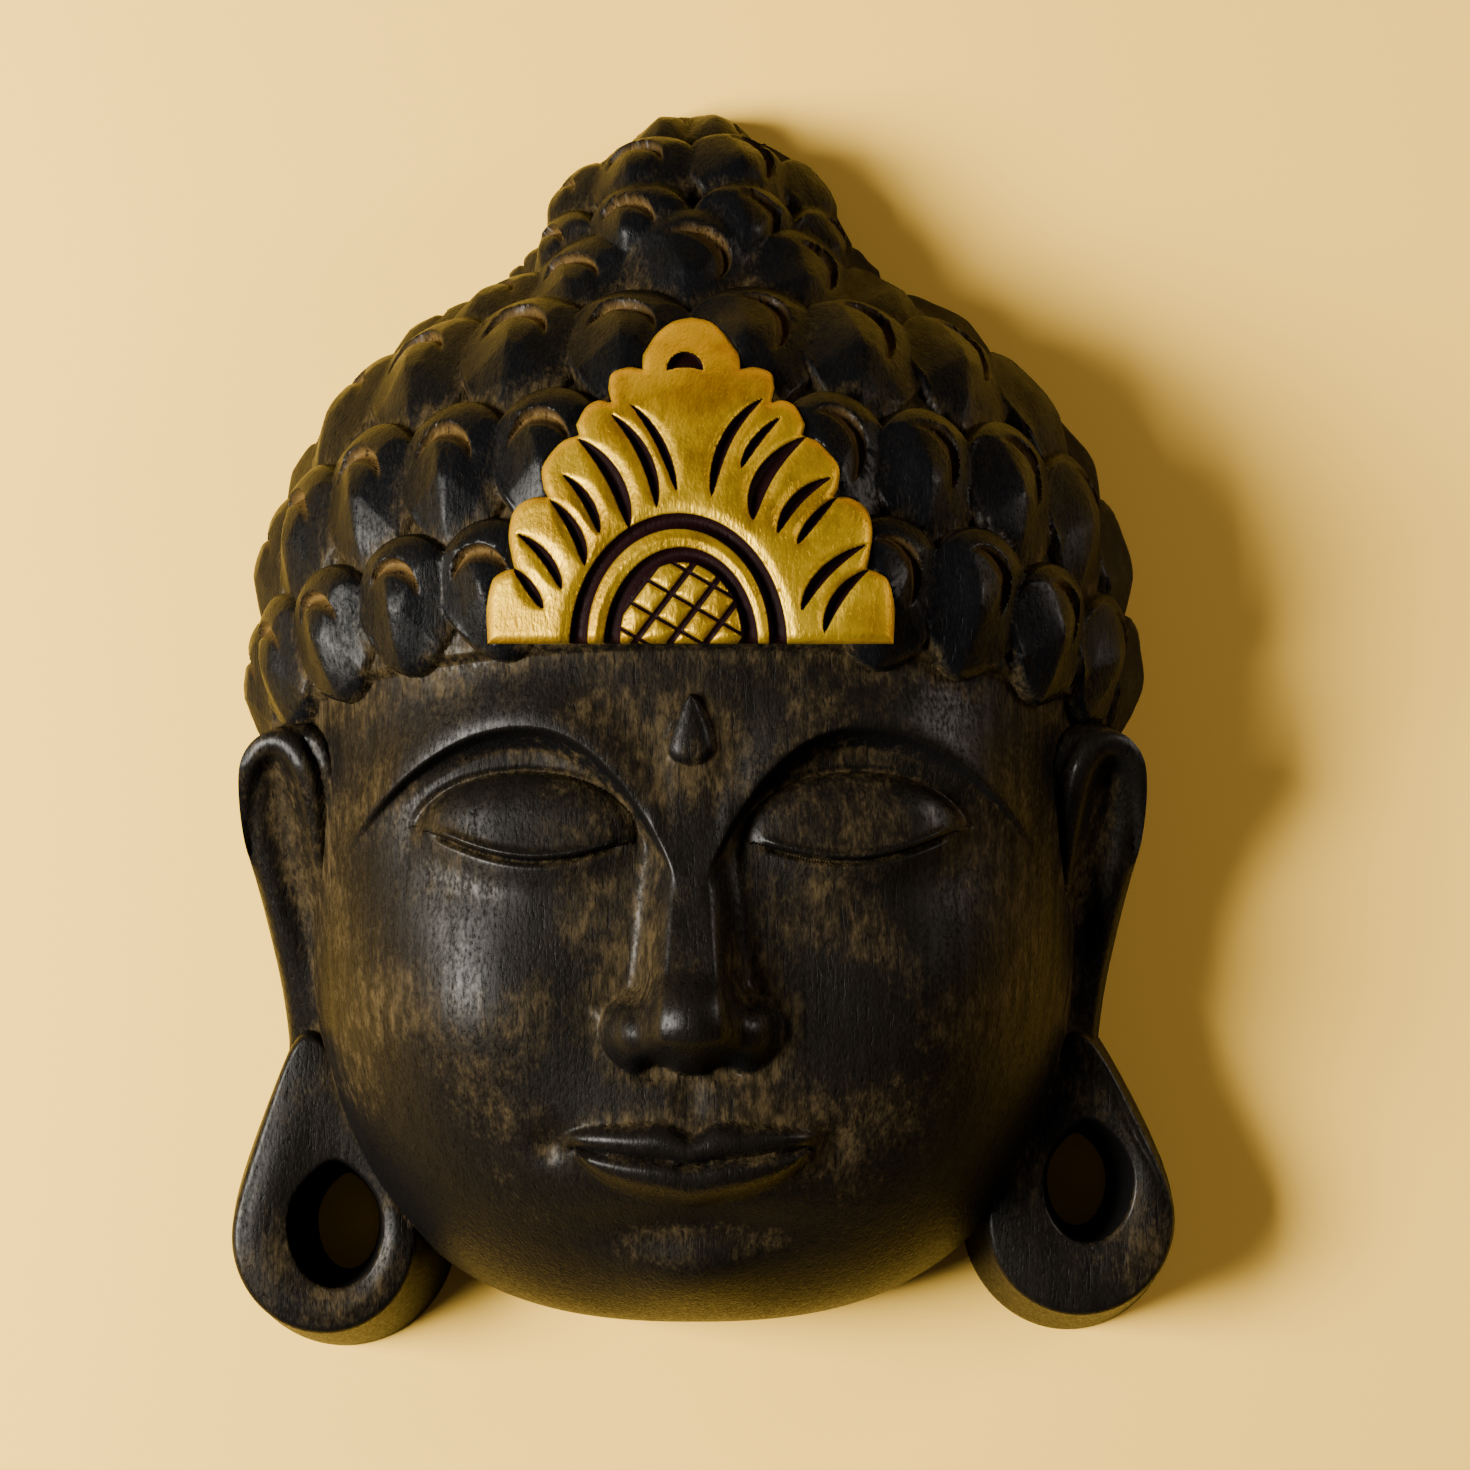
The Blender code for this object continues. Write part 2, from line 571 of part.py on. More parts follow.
def helix(side):
    """The raised rim over the top of an ear, as a tapered tube."""
    curve = bpy.data.curves.new("helix", "CURVE")
    curve.dimensions = "3D"
    curve.bevel_depth = PART
    curve.bevel_resolution = 1
    curve.use_fill_caps = True
    curve.resolution_u = 3
    line = curve.splines.new("NURBS")
    line.points.add(len(HELIX) - 1)
    line.order_u = 4
    line.use_endpoint_u = True
    for point, (x, y, radius) in zip(line.points, HELIX):
        height = leaf_front(np.array(((x, y),)))[0] - 0.6
        point.co = (side * x * PART, y * PART, height * PART, 1)
        point.radius = radius
    made = bpy.data.objects.new("helix", curve)
    bpy.context.scene.collection.objects.link(made)
    return as_mesh(made)


def as_mesh(made):
    """The object with its curve or modifiers turned into a plain, welded mesh."""
    graph = bpy.context.evaluated_depsgraph_get()
    mesh = bpy.data.meshes.new_from_object(made.evaluated_get(graph), depsgraph=graph)
    name = made.name
    bpy.data.objects.remove(made)
    bm = bmesh.new()
    bm.from_mesh(mesh)
    bmesh.ops.remove_doubles(bm, verts=bm.verts, dist=1e-6)
    bm.to_mesh(mesh)
    bm.free()
    fresh = bpy.data.objects.new(name, mesh)
    bpy.context.scene.collection.objects.link(fresh)
    return fresh


def combined(target, others, operation):
    """The target after a Boolean with each of the others, which are used up."""
    for other in others:
        modifier = target.modifiers.new(other.name, "BOOLEAN")
        modifier.operation = operation
        modifier.solver = "EXACT"
        modifier.object = other
    made = as_mesh(target)
    for other in others:
        bpy.data.objects.remove(other)
    return made


def below_seat():
    """Everything below the flat back, for cutting."""
    bm = bmesh.new()
    bmesh.ops.create_cube(bm, size=1, matrix=Matrix.Translation((0, 0, -0.5)))
    mesh = bpy.data.meshes.new("below")
    bm.to_mesh(mesh)
    bm.free()
    made = bpy.data.objects.new("below", mesh)
    bpy.context.scene.collection.objects.link(made)
    return made


def thinned(made, triangles):
    """The object with its small faces merged down to a number of triangles."""
    triangulate = made.modifiers.new("triangles", "TRIANGULATE")
    triangulate.min_vertices = 4
    made = as_mesh(made)
    decimate = made.modifiers.new("thin", "DECIMATE")
    decimate.ratio = min(1, triangles / len(made.data.polygons))
    return as_mesh(made)


def centred(made):
    """Centres the mask on the origin, with its back left on z = 0."""
    points = np.array([v.co for v in made.data.vertices])
    points[:, :2] -= (points[:, :2].min(axis=0) + points[:, :2].max(axis=0)) / 2
    points[np.abs(points[:, 2]) < 1e-6, 2] = 0
    made.data.vertices.foreach_set("co", points.astype(np.float32).ravel())
    made.data.update()


def stained_wood():
    """Dark stained and waxed wood."""
    material = bpy.data.materials.new("stained_wood")
    material.use_nodes = True
    shader = material.node_tree.nodes["Principled BSDF"]
    shader.inputs["Base Color"].default_value = (0.045, 0.032, 0.020, 1)
    shader.inputs["Roughness"].default_value = 0.42
    shader.inputs["Metallic"].default_value = 0.0
    return material


def main():
    for old in list(bpy.data.objects):
        bpy.data.objects.remove(old)
    parts = [crest()]
    for sizes in LOBES:
        parts += [upper_ear(sizes[0]), helix(sizes[0]), lobe(*sizes)]
    mask = combined(thinned(head(), HEAD_TRIANGLES), parts, "UNION")
    mask = combined(mask, [below_seat()], "DIFFERENCE")
    mask.name = "mask"
    centred(mask)
    mask.data.materials.clear()
    mask.data.materials.append(stained_wood())
    mask.data.shade_smooth()
    mask.data.set_sharp_from_angle(angle=math.radians(40))


main()
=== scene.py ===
"""Looks of the carved Buddha mask: dark stained, waxed wood and a gilded crest, lying on a pale floor.

Right of the face is +X, the crown is +Y, and the nose points along +Z. Carving is set out in parts, about
1 mm each, and fitted to the frame's box at the end.
"""

import math
import random

import bmesh
import bpy
import numpy as np
from mathutils import Matrix, Vector
from mathutils.geometry import delaunay_2d_cdt
from mathutils.kdtree import KDTree


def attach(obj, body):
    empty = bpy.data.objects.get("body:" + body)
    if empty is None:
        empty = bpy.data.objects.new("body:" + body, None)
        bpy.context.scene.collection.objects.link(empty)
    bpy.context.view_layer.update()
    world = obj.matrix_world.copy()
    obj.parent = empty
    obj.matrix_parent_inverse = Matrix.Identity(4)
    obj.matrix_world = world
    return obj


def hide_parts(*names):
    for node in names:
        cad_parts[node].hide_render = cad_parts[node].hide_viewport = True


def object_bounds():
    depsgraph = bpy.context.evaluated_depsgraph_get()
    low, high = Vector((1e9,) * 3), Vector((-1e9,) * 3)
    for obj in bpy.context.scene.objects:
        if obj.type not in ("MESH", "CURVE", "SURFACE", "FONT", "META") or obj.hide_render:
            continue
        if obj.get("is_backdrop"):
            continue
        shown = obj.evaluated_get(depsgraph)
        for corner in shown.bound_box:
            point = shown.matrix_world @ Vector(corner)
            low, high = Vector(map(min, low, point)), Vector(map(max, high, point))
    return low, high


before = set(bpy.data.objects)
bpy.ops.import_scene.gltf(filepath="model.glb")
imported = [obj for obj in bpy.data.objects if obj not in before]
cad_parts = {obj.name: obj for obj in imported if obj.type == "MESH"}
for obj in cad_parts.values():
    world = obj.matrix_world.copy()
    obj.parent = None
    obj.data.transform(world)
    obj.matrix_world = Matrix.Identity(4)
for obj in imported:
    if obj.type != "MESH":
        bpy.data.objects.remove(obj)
cad_low, cad_high = (np.array(corner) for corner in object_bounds())

# Rounded forms that make up the bare head: centre, half sizes, squareness.
CRANIUM = ((0, 18, 0), (96, 86, 79), 2.15)
FACE = ((0, -33, 0), (92, 109, 78), 2.6)
TOPKNOT = ((0, 97, 0), (32, 39, 38), 2.1)
FORM_BLEND = 14
RIM_WALL = 18.6
FACE_WALL = 21.5
RAY_LENGTH = 250.0
RAY_HALVINGS = 22
SLOPE_STEP = 0.05

# Features of the face: their size beside the plan in face_relief, and their heights and depths.
FEATURE_SIZE = 0.97
BROW_RAISE = 3.2
SOCKET_DEPTH = 5.0
LID_RAISE = (7.0, 5.4)
BRIDGE_RAISE = (3, 14.5)
TIP_RAISE = 20.0
WING_RAISE = 12.0
NOSTRIL_DEPTH = 4
MUZZLE_RAISE = 6.5
LIP_RAISE = (4.4, 5.8)
CHIN_RAISE = 7.0
CHEEK_RAISE = 4.5
MARK_RAISE = 2.6

# Hair: rings of snail curls round the crown, each ring leaning back by its own angle.
HAIRLINE_LEAN = math.radians(18)
HAIRLINE_HEIGHT = -11
HAIR_RAISE = 2.4
CURL_HEIGHT = 7.4
CURL_SEED = 7
# Each ring: lean, latitude, first azimuth, azimuth step, curls on each side, half width, half height.
HEAD_RINGS = (
    (17.5, -8.0, 29.5, 13.4, 5, 13.0, 15.2),
    (22.5, 5.5, 6.7, 14.2, 6, 13.6, 17.0),
    (29.0, 21.0, 9.5, 17.0, 5, 15.0, 18.0),
    (20.0, 44.0, 0, 21.5, 5, 15.0, 15.6),
)
TOPKNOT_RINGS = (
    (18.0, 5.0, 17, 33.0, 3, 12.0, 11.5),
    (18.0, 28.0, 17, 36.0, 3, 12.2, 11.5),
    (18.0, 55.0, 13, 60.0, 2, 9.5, 10.5),
)
CURL_FULLNESS = 1.07
# A crescent is cut in each curl, inside the first circle and outside the second, in half sizes.
HOOD_ARC = (-0.12, 0.12, 0.50)
KNOB_ARC = (-0.24, -0.20, 0.56)
CRESCENT_DEPTH = 0.30
CRESCENT_TURN = (math.radians(14), math.radians(-34))
# Flat chisel cuts on each curl: the way each faces, in degrees, its height at the middle, and its fall.
CURL_FLATS = ((-166, 1.10, 0.78), (-116, 1.12, 0.90), (-70, 1.14, 0.96), (-22, 1.12, 0.94))

# Crest: petals on one side from its foot to its tip, each as corner points of a smooth outline.
CREST_FOOT = 17.0
CREST_RAISE = 11.5
CREST_ROOT = 4.0
CREST_ROUNDING = 2.4
CREST_SPACING = 0.38
PETALS = (
    ((44.2, 0), (44.5, 8.4), (43.4, 13.9), (40.8, 15.8), (38.4, 16.4)),
    ((38.9, 18.3), (39.8, 23.9), (38.6, 29.4), (34.9, 32), (31.3, 32.2)),
    ((32.2, 34), (32.7, 39.3), (29, 44.3), (24.6, 46.1)),
    ((25.3, 48.5), (23.3, 52.5), (20.5, 54.1), (17.8, 53.7)),
    ((18.4, 56.9), (17.7, 60.5), (14.2, 62), (10.9, 61.5)),
    ((11, 65.1), (8.5, 69.9), (4.5, 73.2), (0, 74.3)),
)
# Each vein: inner end, middle, outer end, half width.
VEINS = (
    ((-31.9, 7.4), (-35.0, 12.4), (-38.6, 16.4), 1.1),
    ((-27.9, 11.7), (-31.6, 18.9), (-37.7, 23.9), 1.15),
    ((-22.9, 16.9), (-25.1, 24.6), (-30.6, 31.4), 1.3),
    ((-19.7, 23.9), (-22.6, 31.3), (-27.9, 37.0), 1.1),
    ((-13.3, 25.1), (-17.0, 36.6), (-24.8, 45.2), 1.75),
    ((-7.3, 29.7), (-10.2, 41.4), (-17.5, 50.6), 1.35),
    ((-3.0, 33.2), (-7.0, 44.6), (-13.3, 52.9), 1.0),
    ((29.0, 2.4), (32.4, 10.4), (38.9, 16.2), 1.3),
    ((24.1, 7.1), (29.2, 15.4), (38.3, 21.6), 1.3),
    ((23.2, 21.6), (26.9, 27.0), (32.0, 32.2), 1.05),
    ((18.9, 23.9), (23.4, 31.6), (30.8, 36.4), 1.3),
    ((13.6, 26.8), (16.4, 37.2), (25.2, 45.6), 2.0),
    ((11.0, 38.4), (14.4, 44.6), (19.7, 50.0), 1.0),
    ((4.6, 32.0), (8.0, 45.2), (16.0, 54.4), 1.3),
)
VEIN_DEPTH = 2.0
PETAL_SOFTNESS = 0.75
# Each arch: middle, half width, height, half width of its groove.
ARCHES = ((-2.6, 21.6, 26.6, 1.75), (-2.0, 14.9, 19.2, 1.6))
# Each set of lattice lines: slope in degrees, spacing, offset, half width.
LATTICE = ((53, 6.2, 1.2, 0.95), (-30, 6.0, 0.8, 0.52))
EYELET = (-1.4, 60.9, 4.2, 4.6)

# Upper ear, as half of a pair, from its top round the outer edge and back inside the head.
LEAF = (
    (85.5, 0.8), (90, 1.8), (96, 0.6), (101.5, -2.6), (105, -8), (106, -16), (105.3, -27), (103, -38),
    (100.4, -50), (98.2, -62), (97, -74), (97, -84), (90, -93), (78, -88), (76, -60), (77, -24), (80, -5),
)
LEAF_BACK = 18.0
LEAF_RISE = 26.0
LEAF_SLOPE = 0.30
LEAF_DRAFT = 2.2
LEAF_ROUNDING = 2.6
LEAF_DISH = 2.6
LEAF_SPACING = 1.1
# The rolled rim of the upper ear: place and half width at each point.
HELIX = (
    (103.4, -44, 0.9), (104.0, -32, 1.7), (103.6, -20, 2.3), (102.6, -12, 2.9), (99.6, -6.2, 3.4),
    (94.4, -4.2, 3.7), (89.6, -8.5, 3.6), (87.2, -18, 3.1), (86.0, -31, 1.8), (85.6, -42, 0.6),
)
# Each lobe: side, front centre, front half sizes, back centre, back half sizes, hole centre, hole half sizes.
LOBES = (
    (-1, (85.6, -119.6), (21.6, 22.6), (83.6, -122.0), (27.8, 29.0), (83.0, -116.6), (10.9, 14.8)),
    (1, (89.8, -115.6), (22.0, 22.4), (89.4, -118.4), (26.0, 28.8), (91.6, -106.6), (10.4, 14.2)),
)
LOBE_APEX = (89.5, -72.0)
LOBE_FRONT = 31.5
LOBE_ROUNDING = 2.2
HOLE_ROUNDING = 1.3
LOBE_POINTS = 120
HOLE_NARROWING = (0.62, 0.74)
HOLE_SINK = 3.6

WALL_RINGS = 8
GRID_CELLS = 520
HOLLOW_STEP = 4
GOUGE_WIDTH = 9.0
GOUGE_LENGTH = 34
GOUGE_DEPTH = 0.55
# The head is made this much deeper than its flat back, and then cut.
SEAT = 3.0
CUTTER_SIZE = 800
HEAD_TRIANGLES = 165000
SHARP_ANGLE = math.radians(50)
# The share of the frame's box that the carving fills.
BOX_SHARE = 0.9998

# Colours of the finishes, in linear light. A pair runs from its darker to its lighter part.
BLACK_STAIN = ((0.0018, 0.0017, 0.0016, 1), (0.0080, 0.0062, 0.0042, 1))
HAIR_STAIN = (0.0018, 0.0023, 0.0032, 1)
OLIVE = ((0.011, 0.0078, 0.0034, 1), (0.043, 0.030, 0.013, 1))
OCHRE = (0.095, 0.056, 0.016, 1)
BARE_WOOD = ((0.10, 0.060, 0.028, 1), (0.19, 0.12, 0.058, 1))
PORE = (0.003, 0.0024, 0.002, 1)
GOLD = ((0.30, 0.170, 0.006, 1), (0.50, 0.325, 0.014, 1))
# Darker gold, painted as shade in the crest's hollows.
SHADED_GOLD = (0.15, 0.080, 0.004, 1)
RED_GROUND = (0.006, 0.0010, 0.0010, 1)
BUMP_DEPTH = 0.0005
# Points nearer than this to the head as carved, in parts, take its finish; the rest are the ears'.
HEAD_REACH = 1.5
# Hollows and ridges are found after this many rounds of smoothing, and this depth, in parts, counts as full.
FINE_HOLLOWS = (4, 0.35)
BROAD_HOLLOWS = (40, 2.4)
CREST_HOLLOWS = (12, 0.8)

# Studio, in metres and watts. Each light: place, the spot it faces, size, power and colour.
KEY_LIGHT = ((-1.0, -0.06, 0.90), (0, 0, 0), 0.58, 72, (1.0, 0.95, 0.86))
SIDE_LIGHT = ((1.13, 0.40, 0.46), (0, 0, 0.03), 0.30, 7, (1.0, 0.88, 0.78))
SURROUND = {"Color": (0.90, 0.76, 1.0, 1), "Strength": 0.07}
FLOOR_HALF = 4
FLOOR_DROP = 0.0003
FLOOR_FINISH = ((0.99, 0.62, 0.085), 0.85)
# Camera: how far above the floor it looks straight down, how far aside, and the width that it sees there.
CAMERA_HEIGHT = 0.966
CAMERA_ASIDE = (0.0078, -0.0005)
FLOOR_SEEN = 0.3606
SENSOR = 36.0


def smoothstep(low, high, value):
    t = np.clip((value - low) / (high - low), 0, 1)
    return t * t * (3 - 2 * t)


def bell(value):
    return np.exp(-value * value)


def form_level(points, form, shrink=(0, 0, 0)):
    """How far points lie outside a rounded form, roughly; below zero inside."""
    centre, half, power = form
    half = np.array(half, float) - shrink
    reach = (np.abs((points - centre) / half) ** power).sum(axis=-1) ** (1 / power)
    return (reach - 1) * half.min()


def blended(a, b):
    """The smooth union of two levels."""
    h = np.clip(0.5 + 0.5 * (b - a) / FORM_BLEND, 0, 1)
    return b + (a - b) * h - FORM_BLEND * h * (1 - h)


def head_level(points):
    body = blended(form_level(points, CRANIUM), form_level(points, FACE))
    return blended(body, form_level(points, TOPKNOT))


def hollow_level(points):
    shrink = np.array((RIM_WALL, RIM_WALL, FACE_WALL))
    return blended(form_level(points, CRANIUM, shrink), form_level(points, FACE, shrink))


def surface_along(origin, directions, level):
    """Where rays from origin leave the surface at level zero, by halving."""
    near = np.zeros(len(directions))
    far = np.full(len(directions), RAY_LENGTH)
    for _ in range(RAY_HALVINGS):
        middle = (near + far) / 2
        inside = level(origin + directions * middle[:, None]) < 0
        near = np.where(inside, middle, near)
        far = np.where(inside, far, middle)
    return origin + directions * near[:, None]


def outward(points, level):
    """Unit normals of a level's surface."""
    slope = np.empty_like(points)
    for axis in range(3):
        step = np.zeros(3)
        step[axis] = SLOPE_STEP
        slope[:, axis] = level(points + step) - level(points - step)
    return slope / np.linalg.norm(slope, axis=1)[:, None]


def half_globe(cells):
    """Directions over the half globe z >= 0, as a square grid of cells by cells."""
    line = np.linspace(-1, 1, cells + 1)
    u, v = (a.ravel() for a in np.meshgrid(line, line, indexing="ij"))
    reach = np.maximum(np.abs(u), np.abs(v))
    wide = np.abs(u) > np.abs(v)
    safe_u = np.where(u == 0, 1, u)
    safe_v = np.where(v == 0, 1, v)
    turn = np.where(wide, math.pi / 4 * v / safe_u, math.pi / 2 - math.pi / 4 * u / safe_v)
    turn = np.where(np.where(wide, u, v) < 0, turn + math.pi, turn)
    flat = reach * np.sqrt(2 - reach**2)
    return np.stack((flat * np.cos(turn), flat * np.sin(turn), 1 - reach**2), axis=1)


def leaned(lean, latitude, azimuth):
    """A direction by latitude and azimuth round an axis that leans back."""
    level = math.cos(latitude)
    x, y, z = level * math.sin(azimuth), math.sin(latitude), level * math.cos(azimuth)
    turn = math.cos(lean), math.sin(lean)
    return np.array((x, y * turn[0] + z * turn[1], z * turn[0] - y * turn[1]))


def curls():
    """Every curl as its centre, its right and up directions, and its half sizes."""
    chance = random.Random(CURL_SEED)
    found = []
    for centre, rings in ((CRANIUM[0], HEAD_RINGS), (TOPKNOT[0], TOPKNOT_RINGS)):
        for lean, latitude, first, step, count, wide, tall in rings:
            azimuths = [first + step * i for i in range(count)]
            for azimuth in sorted({side * a for a in azimuths for side in (-1, 1)}):
                at = math.radians(latitude + chance.uniform(-1, 1)), math.radians(azimuth)
                lean_by = math.radians(lean)
                ray = leaned(lean_by, *at)
                spot = surface_along(np.array(centre, float), ray[None], head_level)
                out = outward(spot, head_level)[0]
                up = leaned(lean_by, at[0] + 0.1, at[1]) - ray
                up -= out * (up @ out)
                up /= np.linalg.norm(up)
                right = np.cross(up, out)
                turn = math.radians(chance.uniform(-9, 9))
                cos, sin = math.cos(turn), math.sin(turn)
                right, up = right * cos + up * sin, up * cos - right * sin
                size = chance.uniform(0.96, 1.05) * CURL_FULLNESS
                found.append((spot[0], right, up, wide * size, tall * size))
    return found


def circle_gap(a, b, arc):
    """How far points lie inside a circle given by its centre and radius."""
    return arc[2] - np.hypot(a - arc[0], b - arc[1])


def curl_profile(a, b, turn):
    """Height of one curl, as a share, over its own plane, and how deep its crescent is cut there."""
    narrowed = a * (1 + 0.34 * np.clip(-b, 0, 1))
    reach = narrowed**2 + b**2
    fullness = 1.5 + 0.9 * smoothstep(-0.2, 0.5, b)
    dome = np.clip(1 - reach**fullness, 0, 1) ** 0.5
    for way, height, fall in CURL_FLATS:
        way = math.radians(way)
        dome = np.minimum(dome, height - fall * (a * math.cos(way) + b * math.sin(way)))
    dome = np.maximum(dome, 0) * (0.86 + 0.14 * b - 0.10 * a)
    rim = 0.04 * bell((reach - 0.80) / 0.06) * smoothstep(0.3, -0.3, a - b)
    swept = a * math.cos(turn) + b * math.sin(turn), b * math.cos(turn) - a * math.sin(turn)
    hood = smoothstep(0, 0.05, circle_gap(*swept, HOOD_ARC))
    slope = smoothstep(0, 0.20, -circle_gap(*swept, KNOB_ARC))
    keel = 0.15 * np.clip(1 - np.abs(a + 0.10) / 0.45, 0, 1) * smoothstep(0.5, 0.0, b)
    keel = keel * smoothstep(-1.0, -0.5, b)
    pocket = hood * slope
    return (dome + rim + keel - CRESCENT_DEPTH * pocket) * (dome > 0), pocket * (dome > 0)


def hair_relief(points):
    """How far the hair stands off the bare head, and how deep a point lies in a valley and in a crescent."""
    above = points[:, 1] - points[:, 2] * math.tan(HAIRLINE_LEAN) - HAIRLINE_HEIGHT
    raised = smoothstep(0, 2.5, above)
    locks = np.zeros(len(points))
    crescent = np.zeros(len(points))
    for spot, right, up, wide, tall in curls():
        offset = points - spot
        near = np.nonzero((offset**2).sum(axis=1) < (1.2 * max(wide, tall)) ** 2)[0]
        a, b = offset[near] @ right / wide, offset[near] @ up / tall
        turn = CRESCENT_TURN[0] if spot[0] < 0 else CRESCENT_TURN[1]
        height, pocket = curl_profile(a, b, turn)
        higher = height > locks[near]
        crescent[near] = np.where(higher, pocket, crescent[near])
        locks[near] = np.where(higher, height, locks[near])
    valley = smoothstep(0.42, 0.12, locks + CRESCENT_DEPTH * crescent) * raised
    stands = HAIR_RAISE * np.maximum(raised, smoothstep(0, 0.3, locks)) + CURL_HEIGHT * locks
    return stands, valley, crescent


def soft_max(a, b, width):
    """The higher of two heights, blended where they are nearly level."""
    h = np.clip(0.5 + 0.5 * (a - b) / width, 0, 1)
    return b + (a - b) * h + width * h * (1 - h)


def cushion(u, peak):
    """A lip's rounded section: from the seam at 0 over its peak to its border at 1."""
    rise = 1 - (np.clip(peak - u, 0, None) / (1.2 * peak)) ** 2
    fall = 1 - (np.clip(u - peak, 0, None) / (1 - peak)) ** 2
    return np.where(u < peak, np.sqrt(np.clip(rise, 0, 1)), np.clip(fall, 0, 1) ** 0.85)


def face_relief(x, y):
    """Height of the features on the front of the face, by place; the two halves match."""
    ax = np.abs(x)
    # Brows: sharp arcs that run down into the sides of the nose.
    lift = np.where(ax > 38, 22 * ((ax - 38) / 38) ** 2, 24 * (np.clip(38 - ax, 0, 40) / 30) ** 2.2)
    above = (y + 1 + lift) / np.sqrt(1 + (0.9 * (ax - 38) / 38) ** 2)
    brow_span = smoothstep(84, 66, ax) * smoothstep(3, 9, ax)
    brow = BROW_RAISE * np.where(above > 0, bell(above / 9), smoothstep(-2.6, 0, above)) * brow_span
    socket = -SOCKET_DEPTH * smoothstep(0, -6, above) * bell((ax - 33) / 27) * smoothstep(-46, -22, y)
    # Eyes: full upper lids, lowered, that close on softer lower lids.
    along = np.clip((ax - 15) / 45, 0, 1)
    lash = y - (-27.5 - 5.0 * np.sin(math.pi * along) + 2.5 * along)
    reach = ((ax - 37.5) / 25.5) ** 2 + ((y + 26) / 14.5) ** 2
    upper_lid = LID_RAISE[0] * np.clip(1 - reach, 0, 1) ** 0.6
    lower_lid = LID_RAISE[1] * bell((lash - 1) / 7.5) * np.clip(1 - ((ax - 37.5) / 27) ** 2, 0, 1)
    lid = np.where(lash > 0, np.maximum(upper_lid, lower_lid * smoothstep(6, 0, lash)), lower_lid)
    closing = smoothstep(0, 0.10, along) * smoothstep(1, 0.90, along)
    lid += 0.9 * bell((lash - 1.1) / 1.0) * closing - 1.7 * bell((lash + 0.5) / 0.7) * closing
    fold = -0.8 * bell((reach - 1.05) / 0.10) * (y > -24) * smoothstep(12, 22, ax)
    # Nose: a straight bridge, a rounded tip and two wings, run into each other.
    down = np.clip((-y - 6) / 62, 0, 1)
    tall = (BRIDGE_RAISE[0] + BRIDGE_RAISE[1] * down**1.15) * smoothstep(8, -10, y) * smoothstep(-80, -70, y)
    top_half = 2.6 + 3.4 * down**2
    bridge = tall * (1 - smoothstep(top_half, top_half + 10, ax))
    tip = TIP_RAISE * np.clip(1 - (ax / 13) ** 2 - ((y + 66.5) / 13.5) ** 2, 0, 1) ** 0.62
    wing = WING_RAISE * np.clip(1 - ((ax - 10.5) / 10.5) ** 2 - ((y + 70) / 10) ** 2, 0, 1) ** 0.75
    nostril = -NOSTRIL_DEPTH * bell(np.hypot((ax - 8.2) / 3.6, (y + 78.2) / 2.4))
    nose = soft_max(soft_max(bridge, tip, 6.0), wing, 7.0) - soft_max(1.5, 0.0, 7.0) + nostril
    # Mouth: closed, level lips on a soft muzzle.
    muzzle = MUZZLE_RAISE * bell(np.hypot(ax / 34, (y + 100) / 22))
    seam = y - (-99.5 + 3.0 * (ax / 29) ** 2 - 1.0 * bell(ax / 5))
    upper = 8.6 * np.sqrt(np.clip(1 - (ax / 30) ** 2, 0.002, 1))
    upper = upper - 1.5 * bell(ax / 3.2) + 0.6 * bell((ax - 7) / 4)
    lower = 10.5 * np.sqrt(np.clip(1 - (ax / 26.5) ** 2, 0.002, 1))
    taper = np.clip(1 - (ax / 30) ** 2, 0, 1) ** 0.5
    rounds = LIP_RAISE[0] * cushion(seam / upper, 0.42), LIP_RAISE[1] * cushion(-seam / lower, 0.45)
    lips = taper * np.where(seam > 0, *rounds)
    lips -= 1.1 * bell(seam / 0.9) * smoothstep(33, 26, ax)
    corner = -2.2 * bell(np.hypot((ax - 32) / 4.5, (y + 96.5) / 4.5))
    groove = -1.0 * bell(ax / 3.4) * smoothstep(-92, -88, y) * smoothstep(-78, -83, y)
    # Chin, cheeks and the crease under the lower lip.
    crease = -3.0 * bell((y + 117) / 5.5) * bell(ax / 22)
    chin = CHIN_RAISE * bell(np.hypot(ax / 17, (y + 131) / 12))
    cheek = CHEEK_RAISE * bell(np.hypot((ax - 50) / 22, (y + 66) / 22))
    # Forehead mark: a pointed drop.
    drop = 1 - (ax / (5.6 * np.sqrt(np.clip((6 - y) / 12, 0.001, 1)))) ** 2 - (np.clip(-y - 5, 0, 9) / 5) ** 2
    mark = MARK_RAISE * np.sqrt(np.clip(drop, 0, 1)) * (y < 6) * (y > -10.5)
    skin = brow + socket + lid + fold + muzzle + lips + corner + groove + crease + chin + cheek + mark
    return skin + np.maximum(nose, -1.2)


def through(points, steps):
    """A smooth line through points, by cubic arcs."""
    points = np.array(points, float)
    ends = np.vstack((2 * points[0] - points[1], points, 2 * points[-1] - points[-2]))
    t = np.linspace(0, 1, steps, endpoint=False)[:, None]
    line = []
    for before, start, stop, after in zip(ends, ends[1:], ends[2:], ends[3:]):
        pull = (stop - before) / 2, (after - start) / 2
        bend = 2 * t**3 - 3 * t**2
        between = (1 + bend) * start - bend * stop
        line.append(between + (t**3 - 2 * t**2 + t) * pull[0] + (t**3 - t**2) * pull[1])
    return np.vstack((*line, points[-1:]))


def closed_through(points, steps):
    """A smooth closed line through points."""
    points = np.array(points, float)
    line = through(np.vstack((points[-1:], points, points[:2])), steps)
    return line[steps : steps * (len(points) + 1)]


